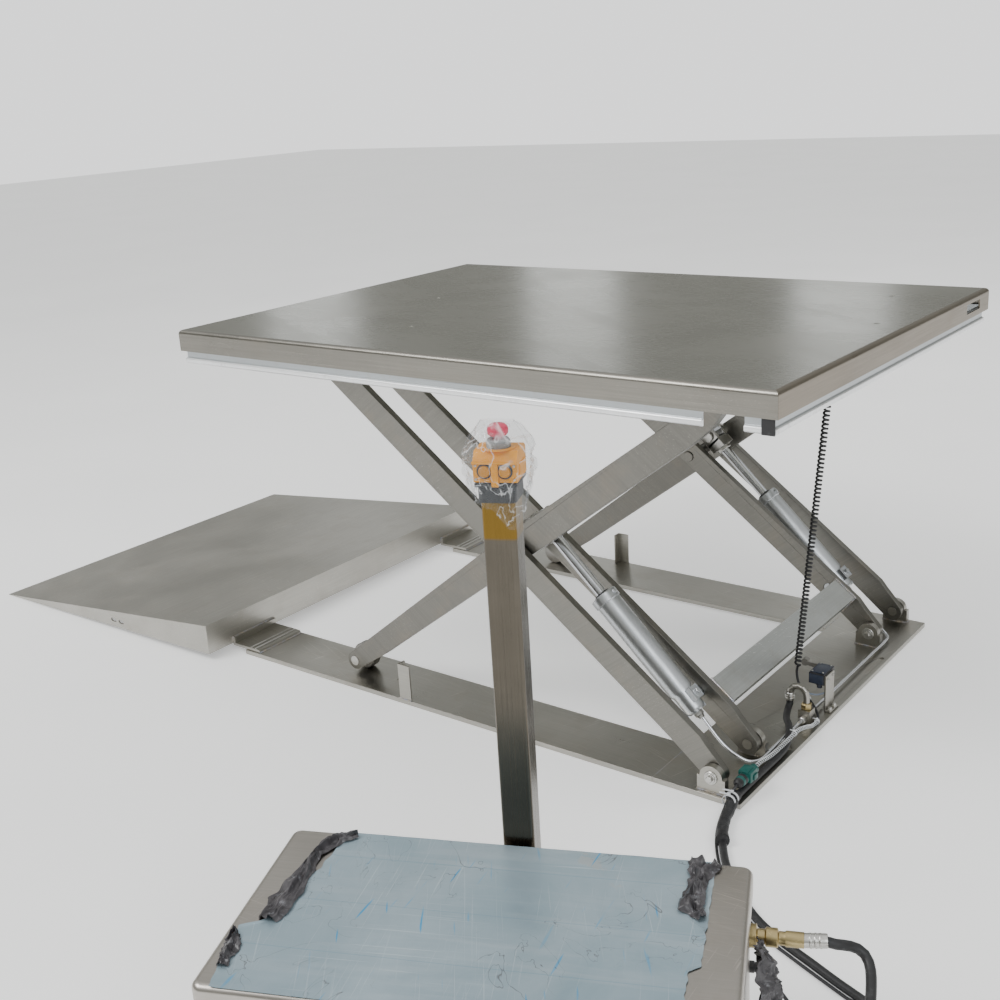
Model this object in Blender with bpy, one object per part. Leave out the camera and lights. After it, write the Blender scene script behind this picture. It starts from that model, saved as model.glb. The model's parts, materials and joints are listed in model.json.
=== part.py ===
"""Low scissor lift table with loading ramp, power unit and control post, at rest with the platform raised.

Metres, +Z up. Table coordinates have x along the platform from its left edge, y from its near edge and
z from the floor. The last step moves everything so the origin is on the floor below the middle of the
bounding box.
"""

import math

import bmesh
import bpy
from mathutils import Matrix, Vector

GAP = 0.0003  # between pieces that touch

# Platform
LENGTH = 1.600
WIDTH = 1.140
TOP = 0.885
DECK_THICK = 0.004
FASCIA_HIGH = 0.052
FASCIA_THICK = 0.003
FOLD_RADIUS = 0.010
TRACK_THICK = 0.012

# Scissors: pivots B (base) and D (platform) at the right, rollers R (on the base) and T (under the deck)
PLATE = 0.012
LIFT_ANGLE = math.radians(37.3)
PIVOT_X = 1.430
PIVOT_Z = 0.046
UPPER_Z = TOP - 0.052
ARM = (UPPER_Z - PIVOT_Z) / math.sin(LIFT_ANGLE)
ROLLER_X = PIVOT_X - ARM * math.cos(LIFT_ANGLE)
UPPER_ROLLER_R = TOP - UPPER_Z - DECK_THICK - TRACK_THICK - GAP
LOWER_ROLLER_R = PIVOT_Z - PLATE - GAP
PIN_R = 0.0115

# Across the table: spans of the near pack's layers; the far pack mirrors them
OUTER_Y = (0.078, 0.096)
CROSSING_Y = (0.100, 0.130)
CYLINDER_Y = 0.176
INNER_Y = (0.222, 0.240)

# Base frame
BASE_X = (0.036, 1.502)
BASE_Y = (0.050, WIDTH - 0.050)
SIDE_WIDE = 0.160
END_X = 1.297

# Hydraulic cylinder, along the cylinder arm from the centre pivot
FOOT_U, FOOT_V = 0.500, 0.0055
EYE_REACH = 0.062
BARREL_R = 0.0285
ROD_R = 0.0125
GLAND = 0.290

# Ramp
RAMP_X = (-0.955, -0.016)
RAMP_Y = (-0.030, 1.085)
RAMP_HIGH = 0.100
RAMP_LIFT = 0.018

# Power unit and control post, in a frame turned about the vertical
UNIT_AT = (1.5555, -0.8295)
UNIT_TURN = math.radians(23.95)
UNIT_SIZE = (0.726, 0.386, 0.300)
CASE_INSET = 0.005
OUTLET = (0.115, 0.235)
OUTLET_REACH = 0.075
POST_AT = (0.0041, 0.2277)
POST_WIDE = 0.050
POST_TOP = 0.855

CORDS = []  # names of the tubes that bend, filled in as they are made


def clear_scene():
    for old in list(bpy.data.objects):
        bpy.data.objects.remove(old)


def new_material(name, colour, metallic, roughness):
    made = bpy.data.materials.new(name)
    made.use_nodes = True
    shader = made.node_tree.nodes["Principled BSDF"]
    shader.inputs["Base Color"].default_value = (*colour, 1.0)
    shader.inputs["Metallic"].default_value = metallic
    shader.inputs["Roughness"].default_value = roughness
    made.diffuse_color = (*colour, 1.0)
    return made


def add(name, bm, material, origin=(0, 0, 0), smooth=False):
    """Makes an object from a bmesh in table coordinates, with its origin at the given point."""
    bmesh.ops.recalc_face_normals(bm, faces=bm.faces)
    bmesh.ops.translate(bm, verts=bm.verts, vec=-Vector(origin))
    mesh = bpy.data.meshes.new(name)
    bm.to_mesh(mesh)
    bm.free()
    if smooth:
        for face in mesh.polygons:
            face.use_smooth = True
        mesh.set_sharp_from_angle(angle=math.radians(35))
    made = bpy.data.objects.new(name, mesh)
    made.location = origin
    made.data.materials.append(material)
    bpy.context.scene.collection.objects.link(made)
    return made


def prism_mesh(outline, low, high, axis="y"):
    """A closed outline pushed along one axis. The outline holds the other two coordinates in order."""
    bm = bmesh.new()
    rings = []
    for level in (low, high):
        ring = []
        for a, b in outline:
            at = {"x": (level, a, b), "y": (a, level, b), "z": (a, b, level)}[axis]
            ring.append(bm.verts.new(at))
        rings.append(ring)
    bm.faces.new(rings[0])
    bm.faces.new(rings[1])
    for i in range(len(outline)):
        j = (i + 1) % len(outline)
        bm.faces.new((rings[0][i], rings[0][j], rings[1][j], rings[1][i]))
    return bm


def box_mesh(low, high):
    outline = [(low[0], low[2]), (high[0], low[2]), (high[0], high[2]), (low[0], high[2])]
    return prism_mesh(outline, low[1], high[1])


def box(name, low, high, material, origin=(0, 0, 0)):
    return add(name, box_mesh(low, high), material, origin)


def arc(centre, radius, start, end, steps=8):
    points = []
    for i in range(steps + 1):
        turn = math.radians(start + (end - start) * i / steps)
        points.append((centre[0] + radius * math.cos(turn), centre[1] + radius * math.sin(turn)))
    return points


def turned_mesh(profile, start, direction, sides=40):
    """Turns (radius, distance) points about the line from start. Points at radius 0 close the ends."""
    bm = bmesh.new()
    along = Vector(direction).normalized()
    across = along.orthogonal().normalized()
    upright = along.cross(across)
    rings = []
    for radius, distance in profile:
        middle = Vector(start) + along * distance
        if radius == 0:
            rings.append([bm.verts.new(middle)])
            continue
        ring = []
        for i in range(sides):
            turn = 2 * math.pi * i / sides
            ring.append(bm.verts.new(middle + radius * (across * math.cos(turn) + upright * math.sin(turn))))
        rings.append(ring)
    solid = len(rings[0]) == 1
    pairs = list(zip(rings, rings[1:]))
    if not solid:
        pairs.append((rings[-1], rings[0]))
    for one, two in pairs:
        for i in range(sides):
            j = (i + 1) % sides
            corners = [one[i % len(one)], one[j % len(one)], two[j % len(two)], two[i % len(two)]]
            bm.faces.new(list(dict.fromkeys(corners)))
    return bm


def turned(name, profile, start, direction, material, origin=(0, 0, 0), sides=40):
    return add(name, turned_mesh(profile, start, direction, sides), material, origin, smooth=True)


def rod_mesh(start, end, radius, sides=32):
    reach = Vector(end) - Vector(start)
    profile = [(0, 0), (radius, 0), (radius, reach.length), (0, reach.length)]
    return turned_mesh(profile, start, reach, sides)


def cut(target, bm, operation="DIFFERENCE"):
    """Cuts a mesh in table coordinates out of an object, or welds it on."""
    number = len(target.modifiers)
    name = target.name + "_tool" + str(number)
    tool = add(name, bm, target.data.materials[0])
    tool.hide_render = True
    tool.display_type = "WIRE"
    tool.hide_set(True)
    step = target.modifiers.new("cut" + str(number), "BOOLEAN")
    step.solver = "EXACT"
    step.operation = operation
    step.object = tool
    return target


def tube(name, points, radius, material, resolution=3):
    """A cord: a line of points read from a smooth curve, with a round section and closed ends."""
    curve = bpy.data.curves.new(name, "CURVE")
    curve.dimensions = "3D"
    curve.bevel_depth = radius
    curve.bevel_resolution = resolution
    curve.use_fill_caps = True
    line = curve.splines.new("POLY")
    line.points.add(len(points) - 1)
    for point, at in zip(line.points, points):
        point.co = (*at, 1.0)
    line.use_smooth = True
    made = bpy.data.objects.new(name, curve)
    made.data.materials.append(material)
    bpy.context.scene.collection.objects.link(made)
    CORDS.append(name)
    return made


def smooth_line(corners, spacing):
    """Evenly spaced points on a smooth curve through the corners."""
    at = [Vector(c) for c in corners]
    at = [2 * at[0] - at[1]] + at + [2 * at[-1] - at[-2]]
    dense = []
    for p0, p1, p2, p3 in zip(at, at[1:], at[2:], at[3:]):
        for i in range(40):
            t = i / 40
            here = 2 * p1 + (p2 - p0) * t + (2 * p0 - 5 * p1 + 4 * p2 - p3) * t * t
            dense.append(0.5 * (here + (3 * p1 - p0 - 3 * p2 + p3) * t ** 3))
    dense.append(at[-2])
    total = sum((b - a).length for a, b in zip(dense, dense[1:]))
    count = max(8, round(total / spacing))
    points = [dense[0]]
    passed, nearest = 0.0, 1
    for a, b in zip(dense, dense[1:]):
        passed += (b - a).length
        if passed >= total * nearest / count and nearest < count:
            points.append(b)
            nearest += 1
    points.append(dense[-1])
    return points


def other_side(span):
    """The same span on the far side of the table."""
    return (WIDTH - span[1], WIDTH - span[0])


def arm_point(u, v):
    """(x, z) on the cylinder arm: u from its base pivot towards its roller, v square to it and upwards."""
    return (
        PIVOT_X - u * math.cos(LIFT_ANGLE) + v * math.sin(LIFT_ANGLE),
        PIVOT_Z + u * math.sin(LIFT_ANGLE) + v * math.cos(LIFT_ANGLE),
    )


def crossing_point(u, v):
    """(x, z) on the crossing arm: u from its roller to its platform pivot, v square to it and upwards."""
    return (
        ROLLER_X + u * math.cos(LIFT_ANGLE) - v * math.sin(LIFT_ANGLE),
        PIVOT_Z + u * math.sin(LIFT_ANGLE) + v * math.cos(LIFT_ANGLE),
    )


def hole_through(x, z, span, radius):
    return rod_mesh((x, span[0] - 0.002, z), (x, span[1] + 0.002, z), radius)


clear_scene()

STEEL = new_material("stainless", (0.56, 0.55, 0.51), 1.0, 0.32)
DECK = new_material("deck_stainless", (0.50, 0.49, 0.45), 1.0, 0.25)
ALUMINIUM = new_material("trip_aluminium", (0.72, 0.74, 0.76), 1.0, 0.35)
CHROME = new_material("rod_chrome", (0.80, 0.81, 0.82), 1.0, 0.08)
ROLLER = new_material("roller_steel", (0.38, 0.37, 0.35), 1.0, 0.40)
BLACK = new_material("black_plastic", (0.02, 0.02, 0.02), 0.0, 0.45)
HOSE = new_material("black_rubber", (0.018, 0.018, 0.018), 0.0, 0.60)
TEAL = new_material("teal_plastic", (0.02, 0.20, 0.17), 0.0, 0.45)
BRASS = new_material("brass_fitting", (0.55, 0.42, 0.18), 1.0, 0.35)
YELLOW = new_material("yellow_plastic", (0.90, 0.52, 0.02), 0.0, 0.38)
GREY = new_material("grey_plastic", (0.30, 0.31, 0.31), 0.0, 0.45)
RED = new_material("red_plastic", (0.65, 0.02, 0.05), 0.0, 0.35)

CENTRE = arm_point(ARM / 2, 0)


# Base frame: two side plates and an end plate, with the platform stops
def base_frame():
    near = (BASE_Y[0], BASE_Y[0] + SIDE_WIDE)
    anchor_x, anchor_r = 0.522, 0.009
    end_anchor_x, end_anchor_y, end_anchor_r = 1.487, 0.308, 0.006
    for side, span in (("near", near), ("far", other_side(near))):
        low = (BASE_X[0], span[0], 0)
        high = (END_X - GAP, span[1], PLATE)
        plate = box("base_side_plate_" + side, low, high, STEEL)
        middle = sum(span) / 2
        cut(plate, rod_mesh((anchor_x, middle, -0.01), (anchor_x, middle, 0.03), anchor_r))
    end = box("base_end_plate", (END_X, BASE_Y[0], 0), (BASE_X[1], BASE_Y[1], PLATE), STEEL)
    for y in (end_anchor_y, WIDTH - end_anchor_y):
        cut(end, rod_mesh((end_anchor_x, y, -0.01), (end_anchor_x, y, 0.03), end_anchor_r))


def platform_stops():
    """Upright angles that carry the lowered platform."""
    long, wide, thick, high = 0.036, 0.024, 0.004, 0.103
    for side, x, edge, inward in (("near", 0.589, BASE_Y[0], 1), ("far", 0.562, BASE_Y[1], -1)):
        outline = [(0, 0), (long, 0), (long, thick), (thick, thick), (thick, wide), (0, wide)]
        angle = [(x + a, edge + inward * (b + 0.001)) for a, b in outline]
        add("deck_stop_" + side, prism_mesh(angle, PLATE + GAP, high, "z"), STEEL)


def ramp_brackets():
    """Angles from the side plates' left ends up the ramp's end face."""
    thick, high, soft = 0.008, 0.036, 0.003
    foot_x, face_x = 0.088, RAMP_X[1] + GAP
    low = PLATE + GAP
    outline = [
        (face_x, low),
        (foot_x, low),
        (foot_x, low + thick - soft),
        (foot_x - soft, low + thick),
        (face_x + thick, low + thick),
        (face_x + thick, high),
        (face_x, high),
    ]
    near = (BASE_Y[0] + 0.004, BASE_Y[0] + SIDE_WIDE - 0.004)
    for side, span in (("near", near), ("far", other_side(near))):
        add("ramp_bracket_" + side, prism_mesh(outline, *span), STEEL)


def pivot_lugs():
    """Plates outside each cylinder-arm plate, each with a pin through that plate."""
    half, crown_r = 0.032, 0.026
    low = PLATE + GAP
    outline = [(PIVOT_X - half, low), (PIVOT_X + half, low), (PIVOT_X + half, PIVOT_Z)]
    outline += arc((PIVOT_X, PIVOT_Z), crown_r, 0, 180, 12)
    outline += [(PIVOT_X - half, PIVOT_Z)]
    pin_reach = OUTER_Y[1] + 0.001
    near_outer = ((OUTER_Y[0] - 0.018, OUTER_Y[0] - 0.002), pin_reach)
    near_inner = ((INNER_Y[1] + 0.002, INNER_Y[1] + 0.018), INNER_Y[0] - 0.001)
    for name, (span, tip) in (("near_outer", near_outer), ("near_inner", near_inner)):
        for side in ("near", "far"):
            if side == "far":
                span = other_side(span)
                tip = WIDTH - tip
            lug = add("base_lug_" + name.replace("near", side), prism_mesh(outline, *span), STEEL)
            middle = sum(span) / 2
            cut(lug, rod_mesh((PIVOT_X, middle, PIVOT_Z), (PIVOT_X, tip, PIVOT_Z), PIN_R), "UNION")


def ramp():
    """One folded sheet, open underneath, with a thin solid toe."""
    left, right = RAMP_X
    toe_high, toe_long, skin = 0.0015, 0.070, 0.005
    outer = [(left, 0), (right, RAMP_LIFT), (right, RAMP_HIGH), (left, toe_high)]
    made = add("ramp", prism_mesh(outer, *RAMP_Y), STEEL)
    slope = RAMP_HIGH / (right - left)
    inner_left, inner_right = left + toe_long, right - skin

    def under(x):
        return (x - left) * slope - skin * 1.05

    inner = [(inner_left, -0.01), (inner_right, -0.01), (inner_right, under(inner_right))]
    inner += [(inner_left, under(inner_left))]
    cut(made, prism_mesh(inner, RAMP_Y[0] + skin, RAMP_Y[1] - skin))
    slot_z, slot_r, reach = 0.0305, 0.005, 0.007
    for middle in (-0.424, -0.390):
        slot = arc((middle - reach, slot_z), slot_r, 90, 270)
        slot += arc((middle + reach, slot_z), slot_r, -90, 90)
        cut(made, prism_mesh(slot, RAMP_Y[0] - 0.01, RAMP_Y[0] + skin + 0.002))


# Platform: deck plate with two roller tracks, four folded edges, and the pivot lugs
def platform():
    inset = FOLD_RADIUS + GAP
    low = (inset, inset, TOP - DECK_THICK)
    deck = box("deck", low, (LENGTH - inset, WIDTH - inset, TOP), DECK)
    track_y = (0.160, 0.220)
    for span in (track_y, other_side(track_y)):
        rail = box_mesh((0.090, span[0], TOP - DECK_THICK - TRACK_THICK), (0.450, span[1], TOP - 0.002))
        cut(deck, rail, "UNION")
    eye_hole_r = 0.006
    for x, y in ((0.550, 0.240), (1.525, 0.630), (0.344, 0.588), (1.431, 0.960)):
        cut(deck, rod_mesh((x, y, TOP - 0.03), (x, y, TOP + 0.01), eye_hole_r, 24))


def mitred_bars(names, profile, material, origin=(0, 0, 0)):
    """Four bars round the platform, cut square to each other at the corners.

    The profile holds (distance in from the platform's edge, height).
    """
    made = []
    for name, turn in zip(names, range(4)):
        bm = bmesh.new()
        rings = []
        for end in (0, 1):
            ring = []
            for inset, z in profile:
                long_side = LENGTH if turn % 2 == 0 else WIDTH
                along = inset + GAP / 2 if end == 0 else long_side - inset - GAP / 2
                at = {
                    0: (along, inset, z),
                    1: (LENGTH - inset, along, z),
                    2: (along, WIDTH - inset, z),
                    3: (inset, along, z),
                }[turn]
                ring.append(bm.verts.new(at))
            rings.append(ring)
        bm.faces.new(rings[0])
        bm.faces.new(rings[1])
        for i in range(len(profile)):
            j = (i + 1) % len(profile)
            bm.faces.new((rings[0][i], rings[0][j], rings[1][j], rings[1][i]))
        made.append(add(name, bm, material, origin, smooth=True))
    return made


def fascias():
    bottom = TOP - FASCIA_HIGH
    outer = arc((FOLD_RADIUS, TOP - FOLD_RADIUS), FOLD_RADIUS, 90, 180)
    inner = arc((FOLD_RADIUS, TOP - FOLD_RADIUS), FOLD_RADIUS - FASCIA_THICK, 180, 90)
    profile = outer + [(0, bottom), (FASCIA_THICK, bottom)] + inner
    names = ["fascia_front", "fascia_right", "fascia_back", "fascia_left"]
    right = mitred_bars(names, profile, DECK)[1]
    hand_slot = [(0.985, 0.846), (1.075, 0.846), (1.075, 0.868), (0.985, 0.868)]
    cut(right, prism_mesh(hand_slot, LENGTH - 0.01, LENGTH + 0.01, "x"))


def trip_frame():
    """Aluminium bars that slide up inside the fascias when they meet something under the platform's edge."""
    low = TOP - FASCIA_HIGH - 0.031
    lip_out, web_out, web_in, top = 0.0067, 0.0107, 0.0147, low + 0.044
    profile = [
        (lip_out, low + 0.003),
        (lip_out + 0.003, low),
        (web_in, low),
        (web_in, top),
        (web_out, top),
        (web_out, low + 0.015),
        (lip_out, low + 0.011),
    ]
    names = ["trip_bar_front", "trip_bar_right", "trip_bar_back", "trip_bar_left"]
    front = mitred_bars(names, profile, ALUMINIUM)[0]
    notch = arc((1.456, low + 0.024), 0.010, 180, 90) + [(1.530, low + 0.034), (1.530, low - 0.01)]
    notch += [(1.446, low - 0.01)]
    cut(front, prism_mesh(notch, 0.004, 0.040))
    box("trip_corner_cap", (1.566, lip_out - GAP - 0.003, low), (1.5925, lip_out - GAP, low + 0.036), BLACK)


def platform_lugs():
    """Plates under the deck, each with a pin through the crossing arm's upper end."""
    half = 0.030
    top = TOP - DECK_THICK - GAP
    outline = [(PIVOT_X + half, UPPER_Z), (PIVOT_X + half, top)]
    outline += [(PIVOT_X - half, top), (PIVOT_X - half, UPPER_Z)]
    outline += arc((PIVOT_X, UPPER_Z), 0.028, 180, 360, 12)
    near = (CROSSING_Y[1] + 0.003, CROSSING_Y[1] + 0.016)
    for side, span in (("near", near), ("far", other_side(near))):
        lug = add("platform_lug_" + side, prism_mesh(outline, *span), STEEL)
        tip = CROSSING_Y[0] - 0.001
        if side == "far":
            tip = WIDTH - tip
        middle = sum(span) / 2
        cut(lug, rod_mesh((PIVOT_X, middle, UPPER_Z), (PIVOT_X, tip, UPPER_Z), PIN_R), "UNION")


# Scissors
def tube_shape(wall):
    """The cross tube's section, moved in by a wall thickness."""
    left, right, low, high = 0.085 + wall, 0.150 - wall, -0.012 + wall, 0.040 - wall
    return [arm_point(u, v) for u, v in ((left, low), (right, low), (right, high), (left, high))]


def cylinder_arm():
    """Four plates joined by a square cross tube; the plates are narrowest at their base pivots."""
    low, high, knee = -0.020, 0.040, 0.085
    end_r = 0.0245
    centre_hole_r, foot_hole_r, roller_hole_r = 0.0138, 0.0124, 0.0104
    shape = arc((0, 0), end_r, 110, 270, 10)
    shape += [(knee + 0.030, low), (ARM - 0.060, low)]
    shape += arc((ARM, 0), 0.026, -70, 90, 10)
    shape += [(ARM - 0.090, high), (knee - 0.010, high), (knee - 0.035, high - 0.006)]
    outline = [arm_point(u, v) for u, v in shape]
    foot = arm_point(ARM / 2 - FOOT_U, FOOT_V)
    roller = arm_point(ARM, 0)
    base = (PIVOT_X, 0, PIVOT_Z)
    spans = {"outer_near": OUTER_Y, "inner_near": INNER_Y}
    spans |= {"inner_far": other_side(INNER_Y), "outer_far": other_side(OUTER_Y)}
    for name, span in spans.items():
        plate = add("arm_plate_" + name, prism_mesh(outline, *span), STEEL, base)
        cut(plate, hole_through(PIVOT_X, PIVOT_Z, span, PIN_R + 0.0004))
        cut(plate, hole_through(*CENTRE, span, centre_hole_r))
        if name.startswith("inner"):
            cut(plate, hole_through(*foot, span, foot_hole_r))
            cut(plate, hole_through(*roller, span, roller_hole_r))
    across = (INNER_Y[1] + GAP, WIDTH - INNER_Y[1] - GAP)
    cross_tube = add("arm_cross_tube", prism_mesh(tube_shape(0), *across), STEEL, base)
    cut(cross_tube, prism_mesh(tube_shape(0.004), across[0] - 0.01, across[1] + 0.01))
    for side, sign, edge in (("near", 1, 0.0), ("far", -1, WIDTH)):
        start = (CENTRE[0], edge + sign * (OUTER_Y[0] - 0.007), CENTRE[1])
        long = INNER_Y[1] - OUTER_Y[0] + 0.011
        profile = [(0, 0), (0.019, 0), (0.021, 0.002), (0.021, 0.0065), (0.0135, 0.0065)]
        profile += [(0.0135, long - 0.001), (0.0125, long), (0, long)]
        turned("centre_pin_" + side, profile, start, (0, sign, 0), STEEL, base)


def crossing_arms():
    """One thick bar on each side, deepest below its middle, running between the cylinder arm's plates."""
    end_r = 0.0255
    shape = arc((0, 0), 0.0235, 95, 265, 10)
    shape += [(0.100, -0.030), (ARM * 0.5, -0.039), (ARM - 0.110, -0.044), (ARM - 0.050, -0.040)]
    shape += arc((ARM, 0), end_r, -65, 110, 10)
    shape += [(ARM - 0.060, 0.022), (ARM - 0.110, 0.016), (ARM * 0.5, 0.030), (0.100, 0.024)]
    outline = [crossing_point(u, v) for u, v in shape]
    roller = (ROLLER_X, PIVOT_Z)
    for side, span in (("near", CROSSING_Y), ("far", other_side(CROSSING_Y))):
        plate = add("crossing_arm_" + side, prism_mesh(outline, *span), STEEL, (CENTRE[0], 0, CENTRE[1]))
        cut(plate, hole_through(*CENTRE, span, 0.0140))
        cut(plate, hole_through(*roller, span, 0.0104))
        cut(plate, hole_through(PIVOT_X, UPPER_Z, span, PIN_R + 0.0004))


def rollers():
    """A roller and its shaft are one turned piece; the shaft runs in its arm."""

    def profile(radius, wide, shaft):
        soft = 0.002
        points = [(0, 0), (radius - soft, 0), (radius, soft), (radius, wide - soft)]
        return points + [(radius - soft, wide), (0.010, wide), (0.010, wide + shaft), (0, wide + shaft)]

    upper = arm_point(ARM, 0)
    for side, sign, edge in (("near", 1, 0.0), ("far", -1, WIDTH)):
        start = (upper[0], edge + sign * 0.170, upper[1])
        wheel = profile(UPPER_ROLLER_R, 0.050, 0.020)
        turned("upper_roller_" + side, wheel, start, (0, sign, 0), ROLLER, start)
        start = (ROLLER_X, edge + sign * 0.160, PIVOT_Z)
        wheel = profile(LOWER_ROLLER_R, 0.028, 0.032)
        turned("lower_roller_" + side, wheel, start, (0, -sign, 0), ROLLER, start)


def cylinders():
    foot = arm_point(ARM / 2 - FOOT_U, FOOT_V)
    eye = arm_point(ARM / 2, EYE_REACH)
    along = Vector((eye[0] - foot[0], 0, eye[1] - foot[1]))
    reach = along.length
    along.normalize()
    for side, sign, edge in (("near", 1, 0.0), ("far", -1, WIDTH)):
        y = edge + sign * CYLINDER_Y
        pivot = Vector((foot[0], y, foot[1]))
        shell = [
            (0, -0.030), (0.0180, -0.030), (0.0240, -0.022), (0.0240, 0.020), (BARREL_R, 0.026),
            (BARREL_R, GLAND - 0.022), (BARREL_R + 0.003, GLAND - 0.020), (BARREL_R + 0.003, GLAND - 0.002),
            (BARREL_R + 0.001, GLAND), (ROD_R + 0.0005, GLAND), (ROD_R + 0.0005, 0.055), (0, 0.055),
        ]
        barrel = turned("barrel_" + side, shell, pivot, along, STEEL, pivot)
        trunnion = Vector((foot[0], edge + sign * (INNER_Y[1] - 0.001), foot[1]))
        cut(barrel, rod_mesh(pivot, trunnion, 0.0120 - GAP), "UNION")
        rod = [(0, 0.150), (ROD_R - 0.001, 0.150), (ROD_R, 0.151), (ROD_R, reach - 0.014), (0, reach - 0.014)]
        turned_rod = turned("rod_" + side, rod, pivot, along, CHROME, pivot)
        centre = pivot + along * reach
        half = Vector((0, 0.019, 0))
        cut(turned_rod, rod_mesh(centre - half, centre + half, 0.022), "UNION")
        cut(turned_rod, rod_mesh(centre - 2 * half, centre + 2 * half, 0.012))


# Hydraulic line, supply hose and limit switch on the end plate
def tee_and_line():
    line_x, line_z, line_r = 1.466, 0.024, 0.004
    tee_y, half = 0.440, 0.014
    low = (line_x - half, tee_y - half, PLATE + GAP)
    tee = box("tee_fitting", low, (line_x + half, tee_y + half, 0.044), STEEL)
    cut(tee, rod_mesh((line_x, tee_y - 0.03, line_z), (line_x, tee_y + 0.03, line_z), line_r + GAP))
    bend, top, elbow_r, crimp_r = 0.020, 0.074, 0.0070, 0.0105
    stem = rod_mesh((line_x, tee_y, 0.040), (line_x, tee_y, top), elbow_r)
    cut(tee, stem, "UNION")
    for i in range(6):
        a, b = math.radians(30 * i), math.radians(30 * (i + 1))
        ends = []
        for turn in (a, b):
            ends.append((line_x - bend + bend * math.cos(turn), tee_y, top + bend * math.sin(turn)))
        reach = Vector(ends[1]) - Vector(ends[0])
        step = reach.normalized() * 0.0015
        radius = elbow_r + 0.00003 * (i + 1)  # each piece a hair fatter, so no two faces coincide
        cut(tee, rod_mesh(Vector(ends[0]) - step, Vector(ends[1]) + step, radius), "UNION")
    crimp = Vector((line_x - 2 * bend, tee_y, 0.058))
    cut(tee, rod_mesh((crimp.x, crimp.y, top + 0.001), crimp, crimp_r), "UNION")

    foot = arm_point(ARM / 2 - FOOT_U, FOOT_V)
    eye = arm_point(ARM / 2, EYE_REACH)
    away = Vector((foot[0] - eye[0], 0, foot[1] - eye[1])).normalized()
    port = Vector((foot[0], CYLINDER_Y, foot[1])) + away * (0.030 + GAP)
    out = port + away * 0.018
    near = [port, out, (1.398, 0.178, 0.056), (1.440, 0.186, 0.030), (1.4605, 0.204, line_z)]
    near += [(line_x, 0.235, line_z), (line_x, 0.300, line_z)]
    far = [(p[0], WIDTH - p[1], p[2]) for p in reversed(near)]
    line = smooth_line(near, 0.010) + smooth_line([near[-1], (line_x, 0.57, line_z), far[0]], 0.040)[1:-1]
    tube("port_line", line + smooth_line(far, 0.010), line_r, STEEL, 2)
    return crimp


def limit_switch():
    """A roller-lever switch on an upright bracket, under the middle of the platform."""
    face_x, y0, y1 = 1.4815, 0.500, 0.545
    low = PLATE + GAP
    outline = [(face_x, low), (face_x + 0.016, low), (face_x + 0.016, low + 0.004)]
    outline += [(face_x + 0.004, low + 0.004), (face_x + 0.004, 0.100), (face_x, 0.100)]
    add("switch_bracket", prism_mesh(outline, y0, y1), STEEL)
    box("switch_body", (1.444, 0.498, 0.078), (face_x - GAP, 0.556, 0.104), BLACK)
    pivot = (1.456, 0.556 + GAP, 0.091)
    lever = [(1.456, 0.083), (1.464, 0.087), (1.464, 0.095), (1.456, 0.099), (1.404, 0.098), (1.404, 0.092)]
    add("switch_lever", prism_mesh(lever, 0.556 + GAP, 0.561), ROLLER, pivot)
    roller = rod_mesh((1.407, 0.558, 0.095), (1.407, 0.572, 0.095), 0.009)
    cut(bpy.data.objects["switch_lever"], roller, "UNION")


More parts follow.
